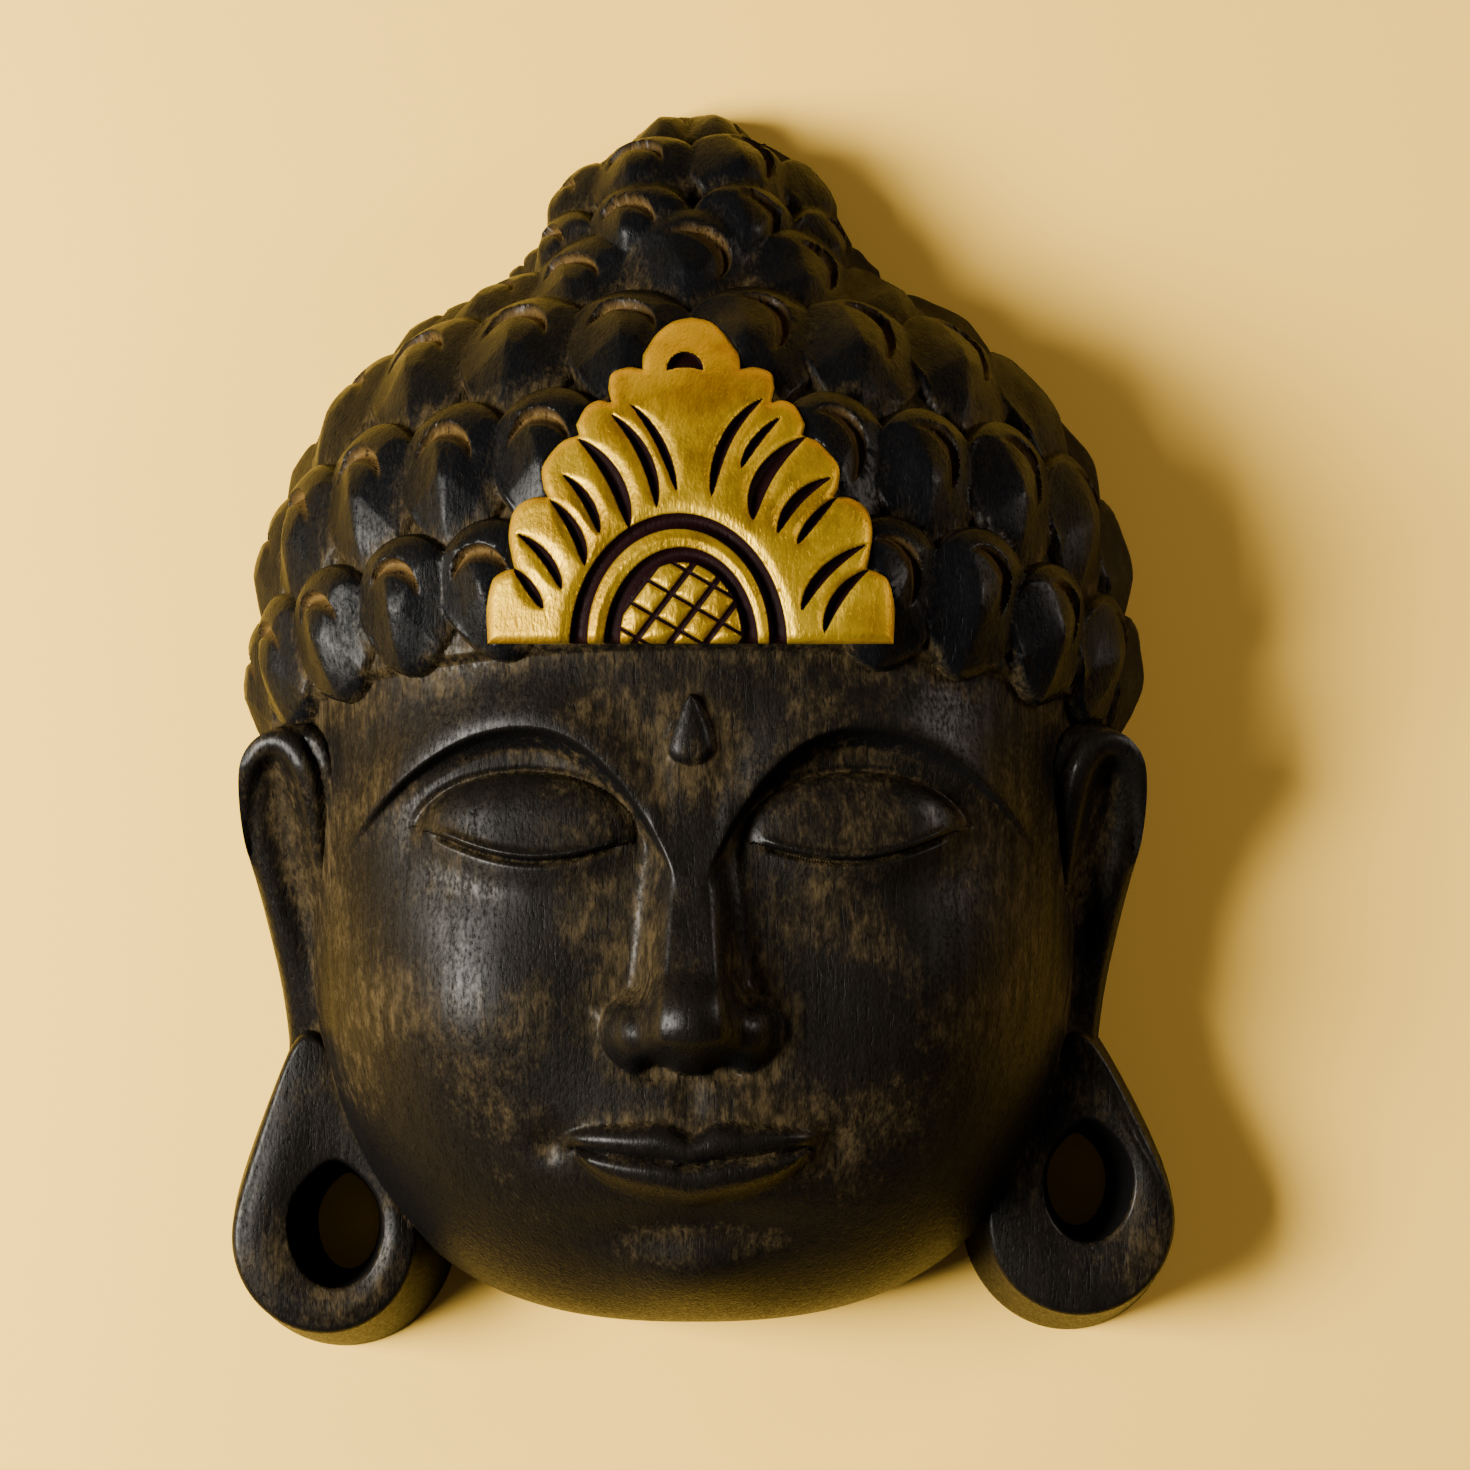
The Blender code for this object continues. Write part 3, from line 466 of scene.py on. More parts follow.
def nearest_on(line, x, y):
    """Distance from places to a line of points, and how far along it, from 0 to 1, the nearest point is."""
    best = np.full(np.shape(x), np.inf)
    along = np.zeros(np.shape(x))
    for number, (start, stop) in enumerate(zip(line[:-1], line[1:])):
        run = stop - start
        share = np.clip(((x - start[0]) * run[0] + (y - start[1]) * run[1]) / (run @ run), 0, 1)
        gap = np.hypot(x - start[0] - share * run[0], y - start[1] - share * run[1])
        closer = gap < best
        best = np.where(closer, gap, best)
        along = np.where(closer, (number + share) / (len(line) - 1), along)
    return best, along


def within(outline, x, y):
    """Which places lie inside a closed outline."""
    inside = np.zeros(np.shape(x), bool)
    for (ax, ay), (bx, by) in zip(outline, np.roll(outline, -1, axis=0)):
        crosses = (ay > y) != (by > y)
        inside ^= crosses & (x < (bx - ax) * (y - ay) / (by - ay + 1e-12) + ax)
    return inside


def crest_outline(steps):
    """The crest's outline from its right foot over the tip to its left foot."""
    half = np.vstack([through(petal, steps) for petal in PETALS])
    return np.vstack((half, half[-2::-1] * (-1, 1)))


def round_cut(gap, wide):
    """Depth of a round gouge's cut, from 1 on its line to 0 at its crisp edge."""
    return np.clip(1 - (gap / wide) ** 2, 0, 1)


def crest_cuts(x, y):
    """How deep the crest's cuts go at each place, from 0 to 1, and how near to a cut's edge its face lies."""
    cut = np.zeros(x.shape)
    edge = np.full(x.shape, 9.0)
    t = np.linspace(0, 1, 14)[:, None]
    for inner, middle, outer, half in VEINS:
        inner, middle, outer = (np.array(spot) for spot in (inner, middle, outer))
        pull = 2 * middle - (inner + outer) / 2
        gap, along = nearest_on((1 - t) ** 2 * inner + 2 * t * (1 - t) * pull + t**2 * outer, x, y)
        wide = half * (0.10 + np.sin(math.pi * np.clip(along, 0, 1) ** 0.85) ** 0.7)
        cut = np.maximum(cut, round_cut(gap, wide) * np.clip(wide / half + 0.1, 0, 1))
        edge = np.minimum(edge, np.maximum(gap - wide, 0) + 2.0 * (1 - np.clip(wide / half, 0, 1)))
    for middle, half, height, wide in ARCHES:
        reach = np.hypot((x - middle) / half, y / height)
        gap = np.abs(reach - 1) * half * (0.8 + 0.3 * y / height)
        cut = np.maximum(cut, round_cut(gap, wide))
        edge = np.minimum(edge, np.maximum(gap - wide, 0))
    middle, half, height, wide = ARCHES[-1]
    inside = smoothstep(1.0, 0.94, np.hypot((x - middle) / half, y / height))
    for slope, spacing, offset, wide in LATTICE:
        slope = math.radians(slope)
        across = y * math.cos(slope) - (x - middle) * math.sin(slope) + offset
        gap = np.abs((across / spacing) % 1 - 0.5) * spacing
        cut = np.maximum(cut, 0.42 * round_cut(gap, wide) * inside)
        edge = np.where(inside > 0.5, np.minimum(edge, np.maximum(gap - wide, 0) + 0.9), edge)
    left, foot, wide, tall = EYELET
    arch = 1 - np.hypot((x - left) / wide, (y - foot) / tall)
    floor = y - foot - 0.9 * (1 - ((x - left) / wide) ** 2)
    return np.maximum(cut, smoothstep(0, 0.12, arch) * smoothstep(-0.3, 0.3, floor)), edge


def in_crest(points):
    """One well inside the crest's outline, zero at it and outside."""
    outline = crest_outline(4)
    turns = np.arctan2(outline[:, 1], outline[:, 0])
    x, y = points[:, 0], points[:, 1] - CREST_FOOT
    edge = np.interp(np.arctan2(np.maximum(y, 0), x), turns, np.linalg.norm(outline, axis=1)) - np.hypot(x, y)
    return smoothstep(0.2, 1.8, edge) * smoothstep(0.3, 2.5, y)


def carved_head():
    """Outer surface of the head as a square grid of points, with what its finish depends on at each."""
    bare = surface_along(np.zeros(3), half_globe(GRID_CELLS), head_level)
    out = outward(bare, head_level)
    out[bare[:, 2] < 0.01, 2] = 0
    height, valley, crescent = hair_relief(bare)
    hair = height * (1 - in_crest(bare + out * height[:, None]))
    front = smoothstep(12, 30, bare[:, 2]) * smoothstep(1.2, 0.0, hair)
    carved = bare + out * hair[:, None]
    carved[:, 2] += face_relief(bare[:, 0] / FEATURE_SIZE, bare[:, 1] / FEATURE_SIZE) * front
    in_hair = smoothstep(0, 1.5, height)
    return carved, {"valley": valley, "crescent": crescent, "hair": in_hair}


def grid_rim(cells):
    """Indices of a square grid's border, in order round it."""
    side = np.arange(cells)
    width = cells + 1
    return np.concatenate((side * width, cells * width + side, (cells - side) * width + cells, cells - side))


def grid_faces(cells, first=0, flip=False):
    index = first + np.arange((cells + 1) ** 2).reshape(cells + 1, cells + 1)
    quads = np.stack((index[:-1, :-1], index[1:, :-1], index[1:, 1:], index[:-1, 1:]), axis=-1).reshape(-1, 4)
    return (quads[:, ::-1] if flip else quads).tolist()


def linked(name, data):
    """A new object in the scene."""
    made = bpy.data.objects.new(name, data)
    bpy.context.scene.collection.objects.link(made)
    return made


def from_bmesh(name, bm):
    """A new object from a bmesh, which is used up."""
    mesh = bpy.data.meshes.new(name)
    bm.to_mesh(mesh)
    bm.free()
    return linked(name, mesh)


def mesh_object(name, points, faces):
    """A new object from points in parts, with its faces turned outwards."""
    mesh = bpy.data.meshes.new(name)
    mesh.from_pydata(np.asarray(points).tolist(), [], faces)
    mesh.validate()
    bm = bmesh.new()
    bm.from_mesh(mesh)
    bmesh.ops.recalc_face_normals(bm, faces=bm.faces)
    bm.to_mesh(mesh)
    bm.free()
    return linked(name, mesh)


def gouged(points):
    """How far the hollow's tool cuts go in: long, shallow scallops down the block."""
    row = np.floor(points[:, 0] / GOUGE_WIDTH)
    across = (points[:, 0] / GOUGE_WIDTH) % 1 - 0.5
    along = ((points[:, 1] + GOUGE_LENGTH / 2 * np.sin(row * 2.4)) / GOUGE_LENGTH) % 1 - 0.5
    return GOUGE_DEPTH * (across**2 * 4 + along**2 * 2 - 1)


def head():
    """The head with its hollow back, one closed body on a flat rim, and its finish places."""
    outer, places = carved_head()
    inner_cells = GRID_CELLS // HOLLOW_STEP
    inner = surface_along(np.zeros(3), half_globe(inner_cells), hollow_level)
    inner -= outward(inner, hollow_level) * gouged(inner)[:, None]
    outer_rim, inner_rim = grid_rim(GRID_CELLS), len(outer) + grid_rim(inner_cells)
    points = np.vstack((outer, inner))
    points[outer_rim, 2] = -SEAT
    points[inner_rim, 2] = -SEAT
    faces = grid_faces(GRID_CELLS) + grid_faces(inner_cells, len(outer), flip=True)
    for i in range(len(inner_rim)):
        span = [outer_rim[(HOLLOW_STEP * i + k) % len(outer_rim)] for k in range(HOLLOW_STEP + 1)]
        faces.append([int(v) for v in (inner_rim[i], inner_rim[(i + 1) % len(inner_rim)], *span[::-1])])
    return mesh_object("mask", points, faces), outer, places


def edge_fall(gap, rounding):
    """How far a rounded edge falls, by the distance from its outline."""
    return rounding * (1 - np.sqrt(1 - np.clip(1 - gap / rounding, 0, 1) ** 2))


def relief_plate(name, outline, spacing, height, wall, mirror=1):
    """A thick plate with a carved face: height gives the face by place, wall its back's outline and depth."""
    low, high = outline.min(axis=0), outline.max(axis=0)
    columns, rows = (np.arange(low[i] + spacing / 2, high[i], spacing) for i in (0, 1))
    x, y = (side.ravel() for side in np.meshgrid(columns, rows))
    x = x + (np.round((y - low[1]) / spacing) % 2) * spacing / 2
    gap, _ = nearest_on(np.vstack((outline, outline[:1])), x, y)
    keep = within(outline, x, y) & (gap > 0.45 * spacing)
    spots = np.vstack((outline, np.column_stack((x[keep], y[keep]))))
    ring = list(range(len(outline)))
    found = delaunay_2d_cdt([Vector(spot) for spot in spots], [], [ring], 1, 1e-5)
    flat = np.array([tuple(spot) for spot in found[0]])
    source = {first: number for number, firsts in enumerate(found[3]) for first in firsts}
    border = [source[i] for i in ring]
    face = np.column_stack((flat, height(flat[:, 0], flat[:, 1])))
    back, depth = wall
    under = np.column_stack((back, np.full(len(back), depth) if np.ndim(depth) == 0 else depth))
    shares = np.linspace(0, 1, WALL_RINGS + 1)[1:]
    levels = [face[border] + (under - face[border]) * share for share in shares]
    faces = [list(f) for f in found[2]]
    loops = [border] + [[len(flat) + len(ring) * level + i for i in ring] for level in range(WALL_RINGS)]
    for upper, lower in zip(loops, loops[1:]):
        faces += [[upper[i], upper[i - 1], lower[i - 1], lower[i]] for i in ring]
    faces.append(loops[-1])
    points = np.vstack((face, *levels)) * (mirror, 1, 1)
    return mesh_object(name, points, faces)


def crest():
    """The gilded crest as a thick carved leaf, rooted in the head."""
    outline = crest_outline(6)
    foot = np.arange(-43.6, 44, 0.6)
    outline = np.vstack((outline, np.column_stack((foot, np.zeros(len(foot))))))

    def over_head(x, y):
        start = np.column_stack((x, y + CREST_FOOT, np.zeros(len(x))))
        return surface_along(start, np.array((0.0, 0.0, 1.0)) + 0 * start, head_level)[:, 2]

    def face(x, y):
        gap, _ = nearest_on(np.vstack((outline, outline[:1])), x, y)
        edge = edge_fall(gap, CREST_ROUNDING)
        cut, near = crest_cuts(x, y)
        return over_head(x, y) + CREST_RAISE - edge - VEIN_DEPTH * cut - PETAL_SOFTNESS * bell(near / 1.3)

    made = relief_plate(
        "gilded_crest", outline, CREST_SPACING, face, (outline, over_head(*outline.T) - CREST_ROOT)
    )
    made.data.transform(Matrix.Translation((0, CREST_FOOT, 0)))
    return made


def leaf_front(x, y):
    """Height of the upper ear's front, which rises to the top and towards the head."""
    return LEAF_BACK + LEAF_RISE * np.clip((y + 86) / 76, 0, 1) + LEAF_SLOPE * (102 - x)


def widened(outline, amount):
    """A closed outline moved outwards."""
    along = np.roll(outline, -1, axis=0) - np.roll(outline, 1, axis=0)
    along /= np.linalg.norm(along, axis=1)[:, None]
    return outline + amount * np.stack((-along[:, 1], along[:, 0]), axis=1)


def upper_ear(side):
    """The upper ear with its dished leaf and rolled rim."""
    leaf = closed_through(LEAF, 9)
    edge = widened(leaf, -LEAF_DRAFT)
    roll = through(HELIX, 5)

    def face(x, y):
        gap, _ = nearest_on(np.vstack((edge, edge[:1])), x, y)
        rounding = edge_fall(gap, LEAF_ROUNDING)
        level = leaf_front(x, y)
        dish = LEAF_DISH * smoothstep(3, 9, gap) * smoothstep(-74, -40, y)
        away, along = nearest_on(roll[:, :2], x, y)
        half = np.interp(along * (len(roll) - 1), np.arange(len(roll)), roll[:, 2])
        tube = level - 0.4 + np.sqrt(np.clip(half**2 - away**2, 0, None)) - np.clip(away - half, 0, None)
        plate = level - dish - rounding
        mix = np.clip(0.5 + 0.5 * (tube - plate) / 1.6, 0, 1)
        return plate + (tube - plate) * mix + 1.6 * mix * (1 - mix) * 0.5

    return relief_plate("ear", edge, LEAF_SPACING, face, (leaf, -SEAT - 1.0), side)


def drop(centre, half, apex, count):
    """A closed drop outline, round below and drawn up to an apex."""
    turns = np.radians(np.linspace(90, -270, count, endpoint=False))
    centre = np.array(centre)
    pull = np.clip(np.sin(turns), 0, 1)[:, None] ** 2.6
    around = np.stack((np.cos(turns), np.sin(turns)), axis=1) * half
    lean = np.array(apex) - centre - (0, half[1])
    return centre + around * (1 - pull * (0.35, 0)) + lean * pull


def lobe(side, front_centre, front_half, back_centre, back_half, hole_centre, hole_half):
    """The long ear lobe, flared towards the back, pierced, with rounded edges: a ring of cross-sections."""
    back_hole = np.array(hole_centre) - (0, HOLE_SINK)
    hole_apex = np.array(hole_centre) + (0, hole_half[1])
    wide = np.array(hole_half)
    narrow = wide * HOLE_NARROWING
    apex = np.array(LOBE_APEX)
    outer = drop(front_centre, front_half, apex, LOBE_POINTS)
    outer_back = drop(back_centre, back_half, apex + (0, 4), LOBE_POINTS)
    hole = drop(hole_centre, wide, hole_apex, LOBE_POINTS)
    hole_back = drop(back_hole, narrow, back_hole + (0, narrow[1]), LOBE_POINTS)
    bottom = -SEAT - 2
    inward = hole - outer
    inward /= np.linalg.norm(inward, axis=1)[:, None]
    loops = []
    for share in np.linspace(0, 1, 9)[:-1]:
        flat = outer_back + (outer - outer_back) * share
        loops.append((flat, bottom + (LOBE_FRONT - LOBE_ROUNDING - bottom) * share))
    for turn in np.radians(np.linspace(0, 90, 7)):
        loops.append((
            outer + inward * LOBE_ROUNDING * (1 - math.cos(turn)),
            LOBE_FRONT - LOBE_ROUNDING * (1 - math.sin(turn)),
        ))
    start, stop = outer + inward * LOBE_ROUNDING, hole - inward * HOLE_ROUNDING
    for share in np.linspace(0, 1, 8)[1:-1]:
        loops.append((start + (stop - start) * share, LOBE_FRONT + 0.7 * math.sin(math.pi * share)))
    for turn in np.radians(np.linspace(90, 0, 6)):
        loops.append((
            hole - inward * HOLE_ROUNDING * (1 - math.cos(turn)),
            LOBE_FRONT - HOLE_ROUNDING * (1 - math.sin(turn)),
        ))
    for share in np.linspace(0, 1, 8)[1:]:
        flat = hole + (hole_back - hole) * share
        loops.append((flat, LOBE_FRONT - HOLE_ROUNDING + (bottom - LOBE_FRONT + HOLE_ROUNDING) * share))
    points = [np.column_stack((flat * (side, 1), np.full(LOBE_POINTS, height))) for flat, height in loops]
    faces = []
    for ring in range(len(loops)):
        here, there = ring * LOBE_POINTS, (ring + 1) % len(loops) * LOBE_POINTS
        for i in range(LOBE_POINTS):
            j = (i + 1) % LOBE_POINTS
            faces.append([here + i, here + j, there + j, there + i])
    return mesh_object("lobe", np.vstack(points), faces)


def as_mesh(made):
    """The object with its modifiers turned into a plain, welded mesh."""
    graph = bpy.context.evaluated_depsgraph_get()
    mesh = bpy.data.meshes.new_from_object(made.evaluated_get(graph), depsgraph=graph)
    name = made.name
    bpy.data.objects.remove(made)
    bm = bmesh.new()
    bm.from_mesh(mesh)
    bmesh.ops.remove_doubles(bm, verts=bm.verts, dist=1e-4)
    bm.to_mesh(mesh)
    bm.free()
    return linked(name, mesh)


def combined(target, others, operation):
    """The target after a Boolean with each of the others, which are used up."""
    for other in others:
        modifier = target.modifiers.new(other.name, "BOOLEAN")
        modifier.operation = operation
        modifier.solver = "MANIFOLD"
        modifier.object = other
    made = as_mesh(target)
    for other in others:
        bpy.data.objects.remove(other)
    return made


def below_seat():
    """Everything below the flat back, for cutting."""
    bm = bmesh.new()
    bmesh.ops.create_cube(bm, size=CUTTER_SIZE, matrix=Matrix.Translation((0, 0, -CUTTER_SIZE / 2)))
    return from_bmesh("below", bm)


def thinned(made, triangles):
    """The object with its small faces merged down to a number of triangles."""
    made.modifiers.new("triangles", "TRIANGULATE")
    made = as_mesh(made)
    decimate = made.modifiers.new("thin", "DECIMATE")
    decimate.ratio = min(1, triangles / len(made.data.polygons))
    return as_mesh(made)


def vertex_vectors(made, name):
    flat = np.empty(len(made.data.vertices) * 3, np.float32)
    made.data.vertices.foreach_get(name, flat)
    return flat.reshape(-1, 3).astype(float)


def coordinates(made):
    return vertex_vectors(made, "co")


def normals(made):
    return vertex_vectors(made, "normal")


def averaged(columns, made, rounds):
    """Columns of numbers on the vertices, after each round the mean of the neighbours' numbers."""
    edges = np.empty(len(made.data.edges) * 2, np.int32)
    made.data.edges.foreach_get("vertices", edges)
    first, second = edges[::2], edges[1::2]
    start, stop = np.concatenate((first, second)), np.concatenate((second, first))
    degree = np.bincount(start)
    for _ in range(rounds):
        columns = [np.bincount(start, column[stop]) / degree for column in columns]
    return columns


def hollowness(made, rounds, reach):
    """How far each vertex lies below its surroundings, from -1 on ridges to 1 in hollows."""
    points = coordinates(made)
    smooth = np.stack(averaged(points.T, made, rounds), axis=1)
    return np.clip(((smooth - points) * normals(made)).sum(axis=1) / reach, -1, 1)


def spread(values, made, rounds):
    """Values on the vertices after smoothing over the surface."""
    return averaged([values], made, rounds)[0]


def set_place(made, name, values):
    """Stores a number for each vertex, which the finish reads by name."""
    made.data.attributes.new(name, "FLOAT", "POINT").data.foreach_set("value", values.astype(np.float32))


def finish_places(mask, outer, places):
    """Where the stain is rubbed thin, with painted sheen on sideways slopes; where painted shade darkens
    undersides and the ears' walls; where the wax shines; and where the wood is bare.
    """
    points = coordinates(mask)
    tree = KDTree(len(outer))
    for number, spot in enumerate(outer):
        tree.insert(spot, number)
    tree.balance()
    found = [tree.find(spot)[1:] for spot in points]
    near = np.array([number for number, _ in found])
    on_head = np.array([away for _, away in found]) < HEAD_REACH
    fine = hollowness(mask, *FINE_HOLLOWS)
    broad = hollowness(mask, *BROAD_HOLLOWS)
    hair = places["hair"][near] * on_head
    facing = normals(mask)
    up = facing[:, 2]
    # Painted shade: undersides and the ears' near-upright walls, which lie in shade, are marked to be painted
    # darker.
    below = smoothstep(0.05, 0.55, -facing[:, 1]) * smoothstep(0.96, 0.62, up)
    wall = smoothstep(0.35, 0.10, up) * (1 - on_head)
    dark = np.maximum(below, wall) * (1 - hair)
    # Painted sheen: slopes that face sideways are marked to be painted lighter olive, as a sheen of light on
    # them.
    flank_sheen = smoothstep(0.75, 0.25, up) * (1 - hair) * (1 - dark)
    inside = smoothstep(-2, 2, -hollow_level(points) + 3.0) * (points[:, 2] > 0.5)
    # Lighter olive where the stain is rubbed thin in valleys and hollows, plus the painted sheen on sideways
    # slopes.
    rubbed = np.clip(
        0.85 * places["valley"][near] * on_head
        + 0.5 * np.clip(fine, 0, 1) + 0.6 * np.clip(broad, 0, 1) + 0.3 * flank_sheen, 0, 1,
    )
    set_place(mask, "rubbed", spread(rubbed, mask, 2))
    set_place(mask, "crescent", places["crescent"][near] * on_head)
    set_place(mask, "ridge", spread(np.clip(-fine * 0.8 - broad * 0.5, 0, 1), mask, 1))
    set_place(mask, "hair", hair)
    set_place(mask, "inside", inside)
    set_place(mask, "dark", spread(dark, mask, 2))


class Value:
    """A number in a material's node tree that takes part in sums."""

    def __init__(self, socket):
        self.socket = socket

    def worked(self, operation, first, second):
        settings = {"operation": operation}
        return add_node(self.socket.id_data, "ShaderNodeMath", settings, {0: first, 1: second})

    def __add__(self, other):
        return self.worked("ADD", self, other)

    def __mul__(self, other):
        return self.worked("MULTIPLY", self, other)

    def __sub__(self, other):
        return self.worked("SUBTRACT", self, other)

    def __rsub__(self, other):
        return self.worked("SUBTRACT", other, self)

    __radd__ = __add__
    __rmul__ = __mul__

    def ramp(self, low, high):
        """This value brought to 0 at low and 1 at high, smoothly."""
        settings = {"interpolation_type": "SMOOTHSTEP"}
        inputs = {"Value": self, 1: low, 2: high}
        return add_node(self.socket.id_data, "ShaderNodeMapRange", settings, inputs)

    def clamped(self):
        return add_node(self.socket.id_data, "ShaderNodeClamp", {}, {"Value": self})


def add_node(tree, kind, settings, inputs, output=0):
    """Adds a node with its settings, then its sockets' values or links, and returns one output."""
    node = tree.nodes.new(kind)
    for name, value in settings.items():
        setattr(node, name, value)
    for key, value in inputs.items():
        if isinstance(value, Value):
            tree.links.new(value.socket, node.inputs[key])
        else:
            node.inputs[key].default_value = value
    return Value(node.outputs[output])


def new_material(name):
    material = bpy.data.materials.new(name)
    material.use_nodes = True
    shader = material.node_tree.nodes["Principled BSDF"]

    def node(kind, settings=None, inputs=None, output=0):
        return add_node(material.node_tree, kind, settings or {}, inputs or {}, output)

    def finish(**sockets):
        for key, value in sockets.items():
            socket = shader.inputs[key.replace("_", " ")]
            if isinstance(value, Value):
                material.node_tree.links.new(value.socket, socket)
            else:
                socket.default_value = value

    return material, node, finish


def tools(node):
    """Short forms for the nodes that both finishes use: noise by place, a stored number, and a colour mix."""
    place = node("ShaderNodeTexCoord", output=3)

    def noise(scale, stretch=(1, 1, 1), detail=3.0, roughness=0.5):
        stretched = node("ShaderNodeVectorMath", {"operation": "MULTIPLY"}, {0: place, 1: stretch})
        inputs = {"Vector": stretched, "Scale": scale, "Detail": detail, "Roughness": roughness}
        return node("ShaderNodeTexNoise", {"normalize": True}, inputs)

    def stored(name):
        return node("ShaderNodeAttribute", {"attribute_name": name}, output="Fac")

    def mixed(factor, a, b):
        return node("ShaderNodeMix", {"data_type": "RGBA"}, {0: factor, 6: a, 7: b}, 2)

    return noise, stored, mixed


def stained_wood():
    """Near-black stained wood with flecks of wax, olive and ochre where the stain is thin, and short pores;
    on sideways slopes the olive is partly painted sheen.

    Undersides and the ears' walls are painted darker, as painted shade, and have no wax.
    """
    material, node, finish = new_material("stained_wood")
    noise, stored, mixed = tools(node)
    rubbed, ridge, hair = stored("rubbed"), stored("ridge"), stored("hair")
    crescent, inside, dark = stored("crescent"), stored("inside"), stored("dark")
    grain = noise(420, (1, 0.045, 1), 4, 0.6)
    pores = noise(1000, (1, 0.10, 1), 2).ramp(0.60, 0.68)
    patches = noise(26, detail=5, roughness=0.62)
    speckle = noise(480, (1, 0.4, 1), 4, 0.65)
    stipple = noise(1400, (1, 0.45, 1), 2, 0.6)
    face_wear = (patches.ramp(0.40, 0.66) * (1 - hair)) * 0.62
    # Olive where the stain is thin; on sideways slopes this olive is painted sheen.
    thin = (rubbed + face_wear) * (0.25 + 1.3 * speckle) + (grain - 0.5) * 0.35 + (stipple - 0.5) * 0.7
    # Painted shade darkens the marked undersides and walls towards near-black.
    thin = (thin - dark * 0.55).clamped()
    black = mixed((hair * 0.75 + dark * 0.6).clamped(), mixed(grain, *BLACK_STAIN), HAIR_STAIN)
    olive = mixed(speckle.ramp(0.35, 0.7), *OLIVE)
    stain = mixed(thin.ramp(0.12, 0.85), black, olive)
    stain = mixed((crescent * (0.4 + 0.9 * speckle)).clamped(), stain, OCHRE)
    wood = mixed(inside * 0.75, stain, mixed(grain, *BARE_WOOD))
    colour = mixed(pores * 0.75, wood, PORE)
    rough = 0.47 + thin * 0.2 - ridge * 0.14 + (stipple - 0.5) * 0.7 + inside * 0.15 + crescent * 0.2
    height = grain * 0.6 + stipple * 0.8 + speckle * 0.3 - pores * 0.3 + noise(130, (1, 0.5, 1), 2) * 0.8
    bump = node("ShaderNodeBump", {}, {"Strength": 0.6, "Distance": BUMP_DEPTH, "Height": height})
    fleck = (stipple * 1.7 + grain - 1.16 + ridge * 0.3).clamped()
    wax = (fleck * (0.33 - hair * 0.08 - dark * 0.33)).clamped()
    finish(Base_Color=colour, Roughness=rough.clamped(), Normal=bump)
    finish(Specular_IOR_Level=0.035, Coat_Weight=wax, Coat_Roughness=0.32)
    return material


def gold_leaf():
    """Burnished gold leaf on the raised faces, with deep red-brown left in the cuts, and painted shade
    darkening the gold in the crest's hollows.
    """
    material, node, finish = new_material("gold_leaf")
    noise, stored, mixed = tools(node)
    cut, low = stored("cut"), stored("low")
    brushed = noise(380, (1, 0.08, 1), 3, 0.6)
    cloud = noise(70, detail=4)
    pits = noise(1100, (1, 0.6, 1), 2).ramp(0.68, 0.76)
    bare = (cut.ramp(0.06, 0.24) + pits * 0.4).clamped()
    # Painted shade: the gold goes darker towards SHADED_GOLD in the crest's hollows.
    leaf = mixed(low * 0.55, mixed(cloud.ramp(0.3, 0.7), *GOLD), SHADED_GOLD)
    colour = mixed(bare, leaf, RED_GROUND)
    rough = 0.50 + (brushed - 0.5) * 0.44 + (cloud - 0.5) * 0.16 + bare * 0.14
    height = brushed * 0.9 + cloud * 1.2 - pits * 0.3 + noise(1300, (1, 0.5, 1), 2) * 0.8
    bump = node("ShaderNodeBump", {}, {"Strength": 0.5, "Distance": BUMP_DEPTH, "Height": height})
    finish(Base_Color=colour, Metallic=(1 - bare) * 0.82, Roughness=rough.clamped(), Normal=bump)
    finish(Specular_IOR_Level=0.07)
    return material


def plain_material(name, colour, roughness):
    material, node, finish = new_material(name)
    finish(Base_Color=(*colour, 1), Roughness=roughness)
    return material


def fit_to_frame(objects):
    """Brings the carving from parts to metres, inside the frame's box."""
    low = np.min([coordinates(made).min(axis=0) for made in objects], axis=0)
    high = np.max([coordinates(made).max(axis=0) for made in objects], axis=0)
    size = (cad_high - cad_low) * BOX_SHARE / (high - low)
    middle = (low + high) / 2
    target = (cad_high + cad_low) / 2
    for made in objects:
        points = (coordinates(made) - middle) * size + target
        points[:, 2] = np.maximum(points[:, 2], cad_low[2])
        made.data.vertices.foreach_set("co", points.astype(np.float32).ravel())
        made.data.update()


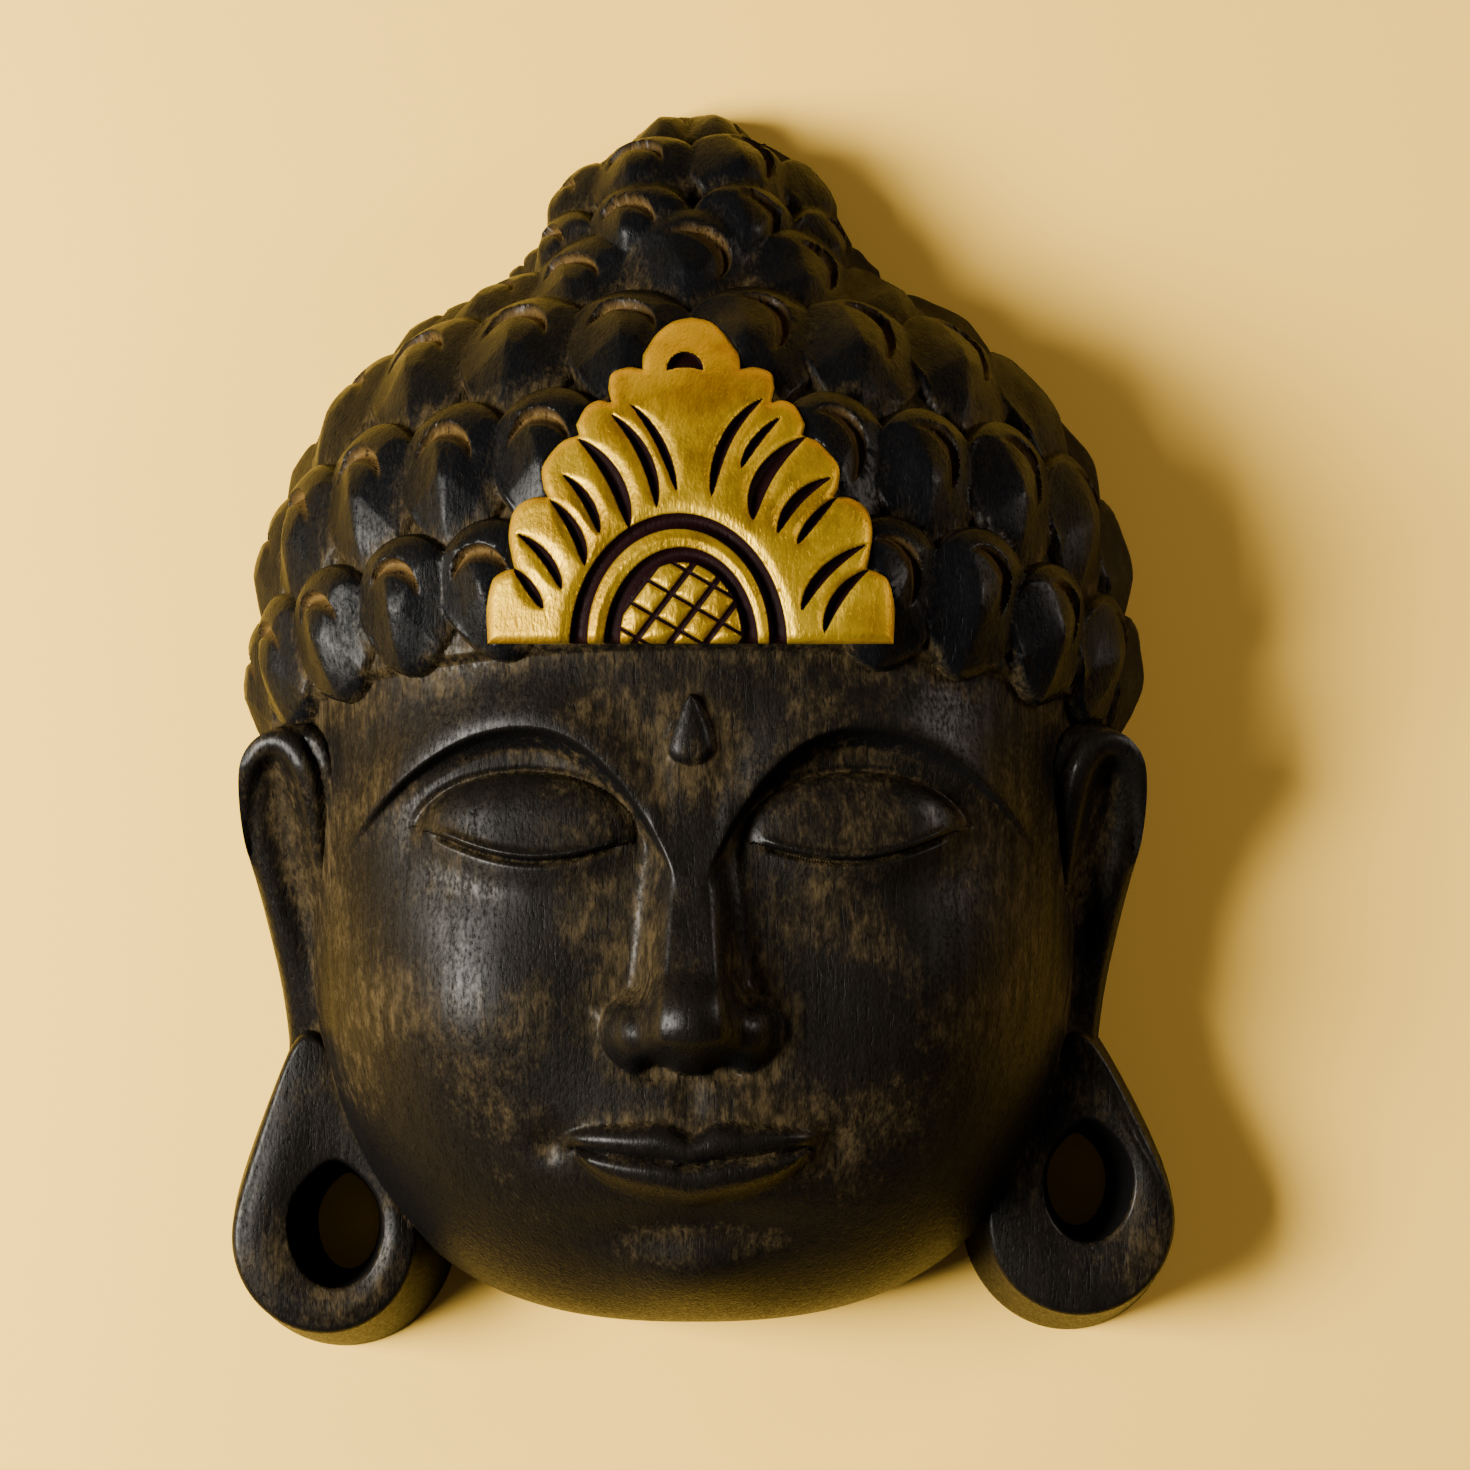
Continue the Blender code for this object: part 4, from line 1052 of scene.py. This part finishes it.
def dress(made, material):
    made.data.materials.clear()
    made.data.materials.append(material)
    made.data.shade_smooth()
    made.data.set_sharp_from_angle(angle=SHARP_ANGLE)
    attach(made, "root")


def make_mask():
    mask, outer, places = head()
    ears = [ear for sizes in LOBES for ear in (upper_ear(sizes[0]), lobe(*sizes))]
    mask = combined(thinned(mask, HEAD_TRIANGLES), ears, "UNION")
    mask = combined(mask, [below_seat()], "DIFFERENCE")
    mask.name = "carved_mask"
    finish_places(mask, outer, places)
    gilt = crest()
    points = coordinates(gilt)
    cuts = crest_cuts(points[:, 0], points[:, 1] - CREST_FOOT)[0] * (normals(gilt)[:, 2] > -0.5)
    set_place(gilt, "cut", cuts)
    # Painted shade: how deep each point lies in the crest's hollows, for darker gold there.
    set_place(gilt, "low", np.clip(hollowness(gilt, *CREST_HOLLOWS), 0, 1))
    fit_to_frame([mask, gilt])
    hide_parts("mask")
    dress(mask, stained_wood())
    dress(gilt, gold_leaf())


def make_floor():
    bm = bmesh.new()
    level = Matrix.Translation((0, 0, -FLOOR_DROP))
    bmesh.ops.create_grid(bm, x_segments=1, y_segments=1, size=FLOOR_HALF, matrix=level)
    floor = from_bmesh("floor", bm)
    floor.data.materials.append(plain_material("floor", *FLOOR_FINISH))
    floor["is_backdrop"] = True


def area_light(name, place, target, size, power, colour):
    data = bpy.data.lights.new(name, "AREA")
    data.size, data.energy, data.color = size, power, colour
    light = linked(name, data)
    light.location = place
    light.rotation_euler = (Vector(target) - Vector(place)).to_track_quat("-Z", "Y").to_euler()


def make_studio():
    """Soft light from the left, a weak and low one from the right, a dim surround, and the camera above."""
    area_light("key", *KEY_LIGHT)
    area_light("side", *SIDE_LIGHT)
    world = bpy.data.worlds.new("surround")
    world.use_nodes = True
    for name, value in SURROUND.items():
        world.node_tree.nodes["Background"].inputs[name].default_value = value
    bpy.context.scene.world = world
    data = bpy.data.cameras.new("camera")
    data.sensor_width = SENSOR
    data.lens = SENSOR * CAMERA_HEIGHT / FLOOR_SEEN
    camera = linked("camera", data)
    camera.location = (*CAMERA_ASIDE, CAMERA_HEIGHT)
    bpy.context.scene.camera = camera


make_mask()
make_floor()
make_studio()
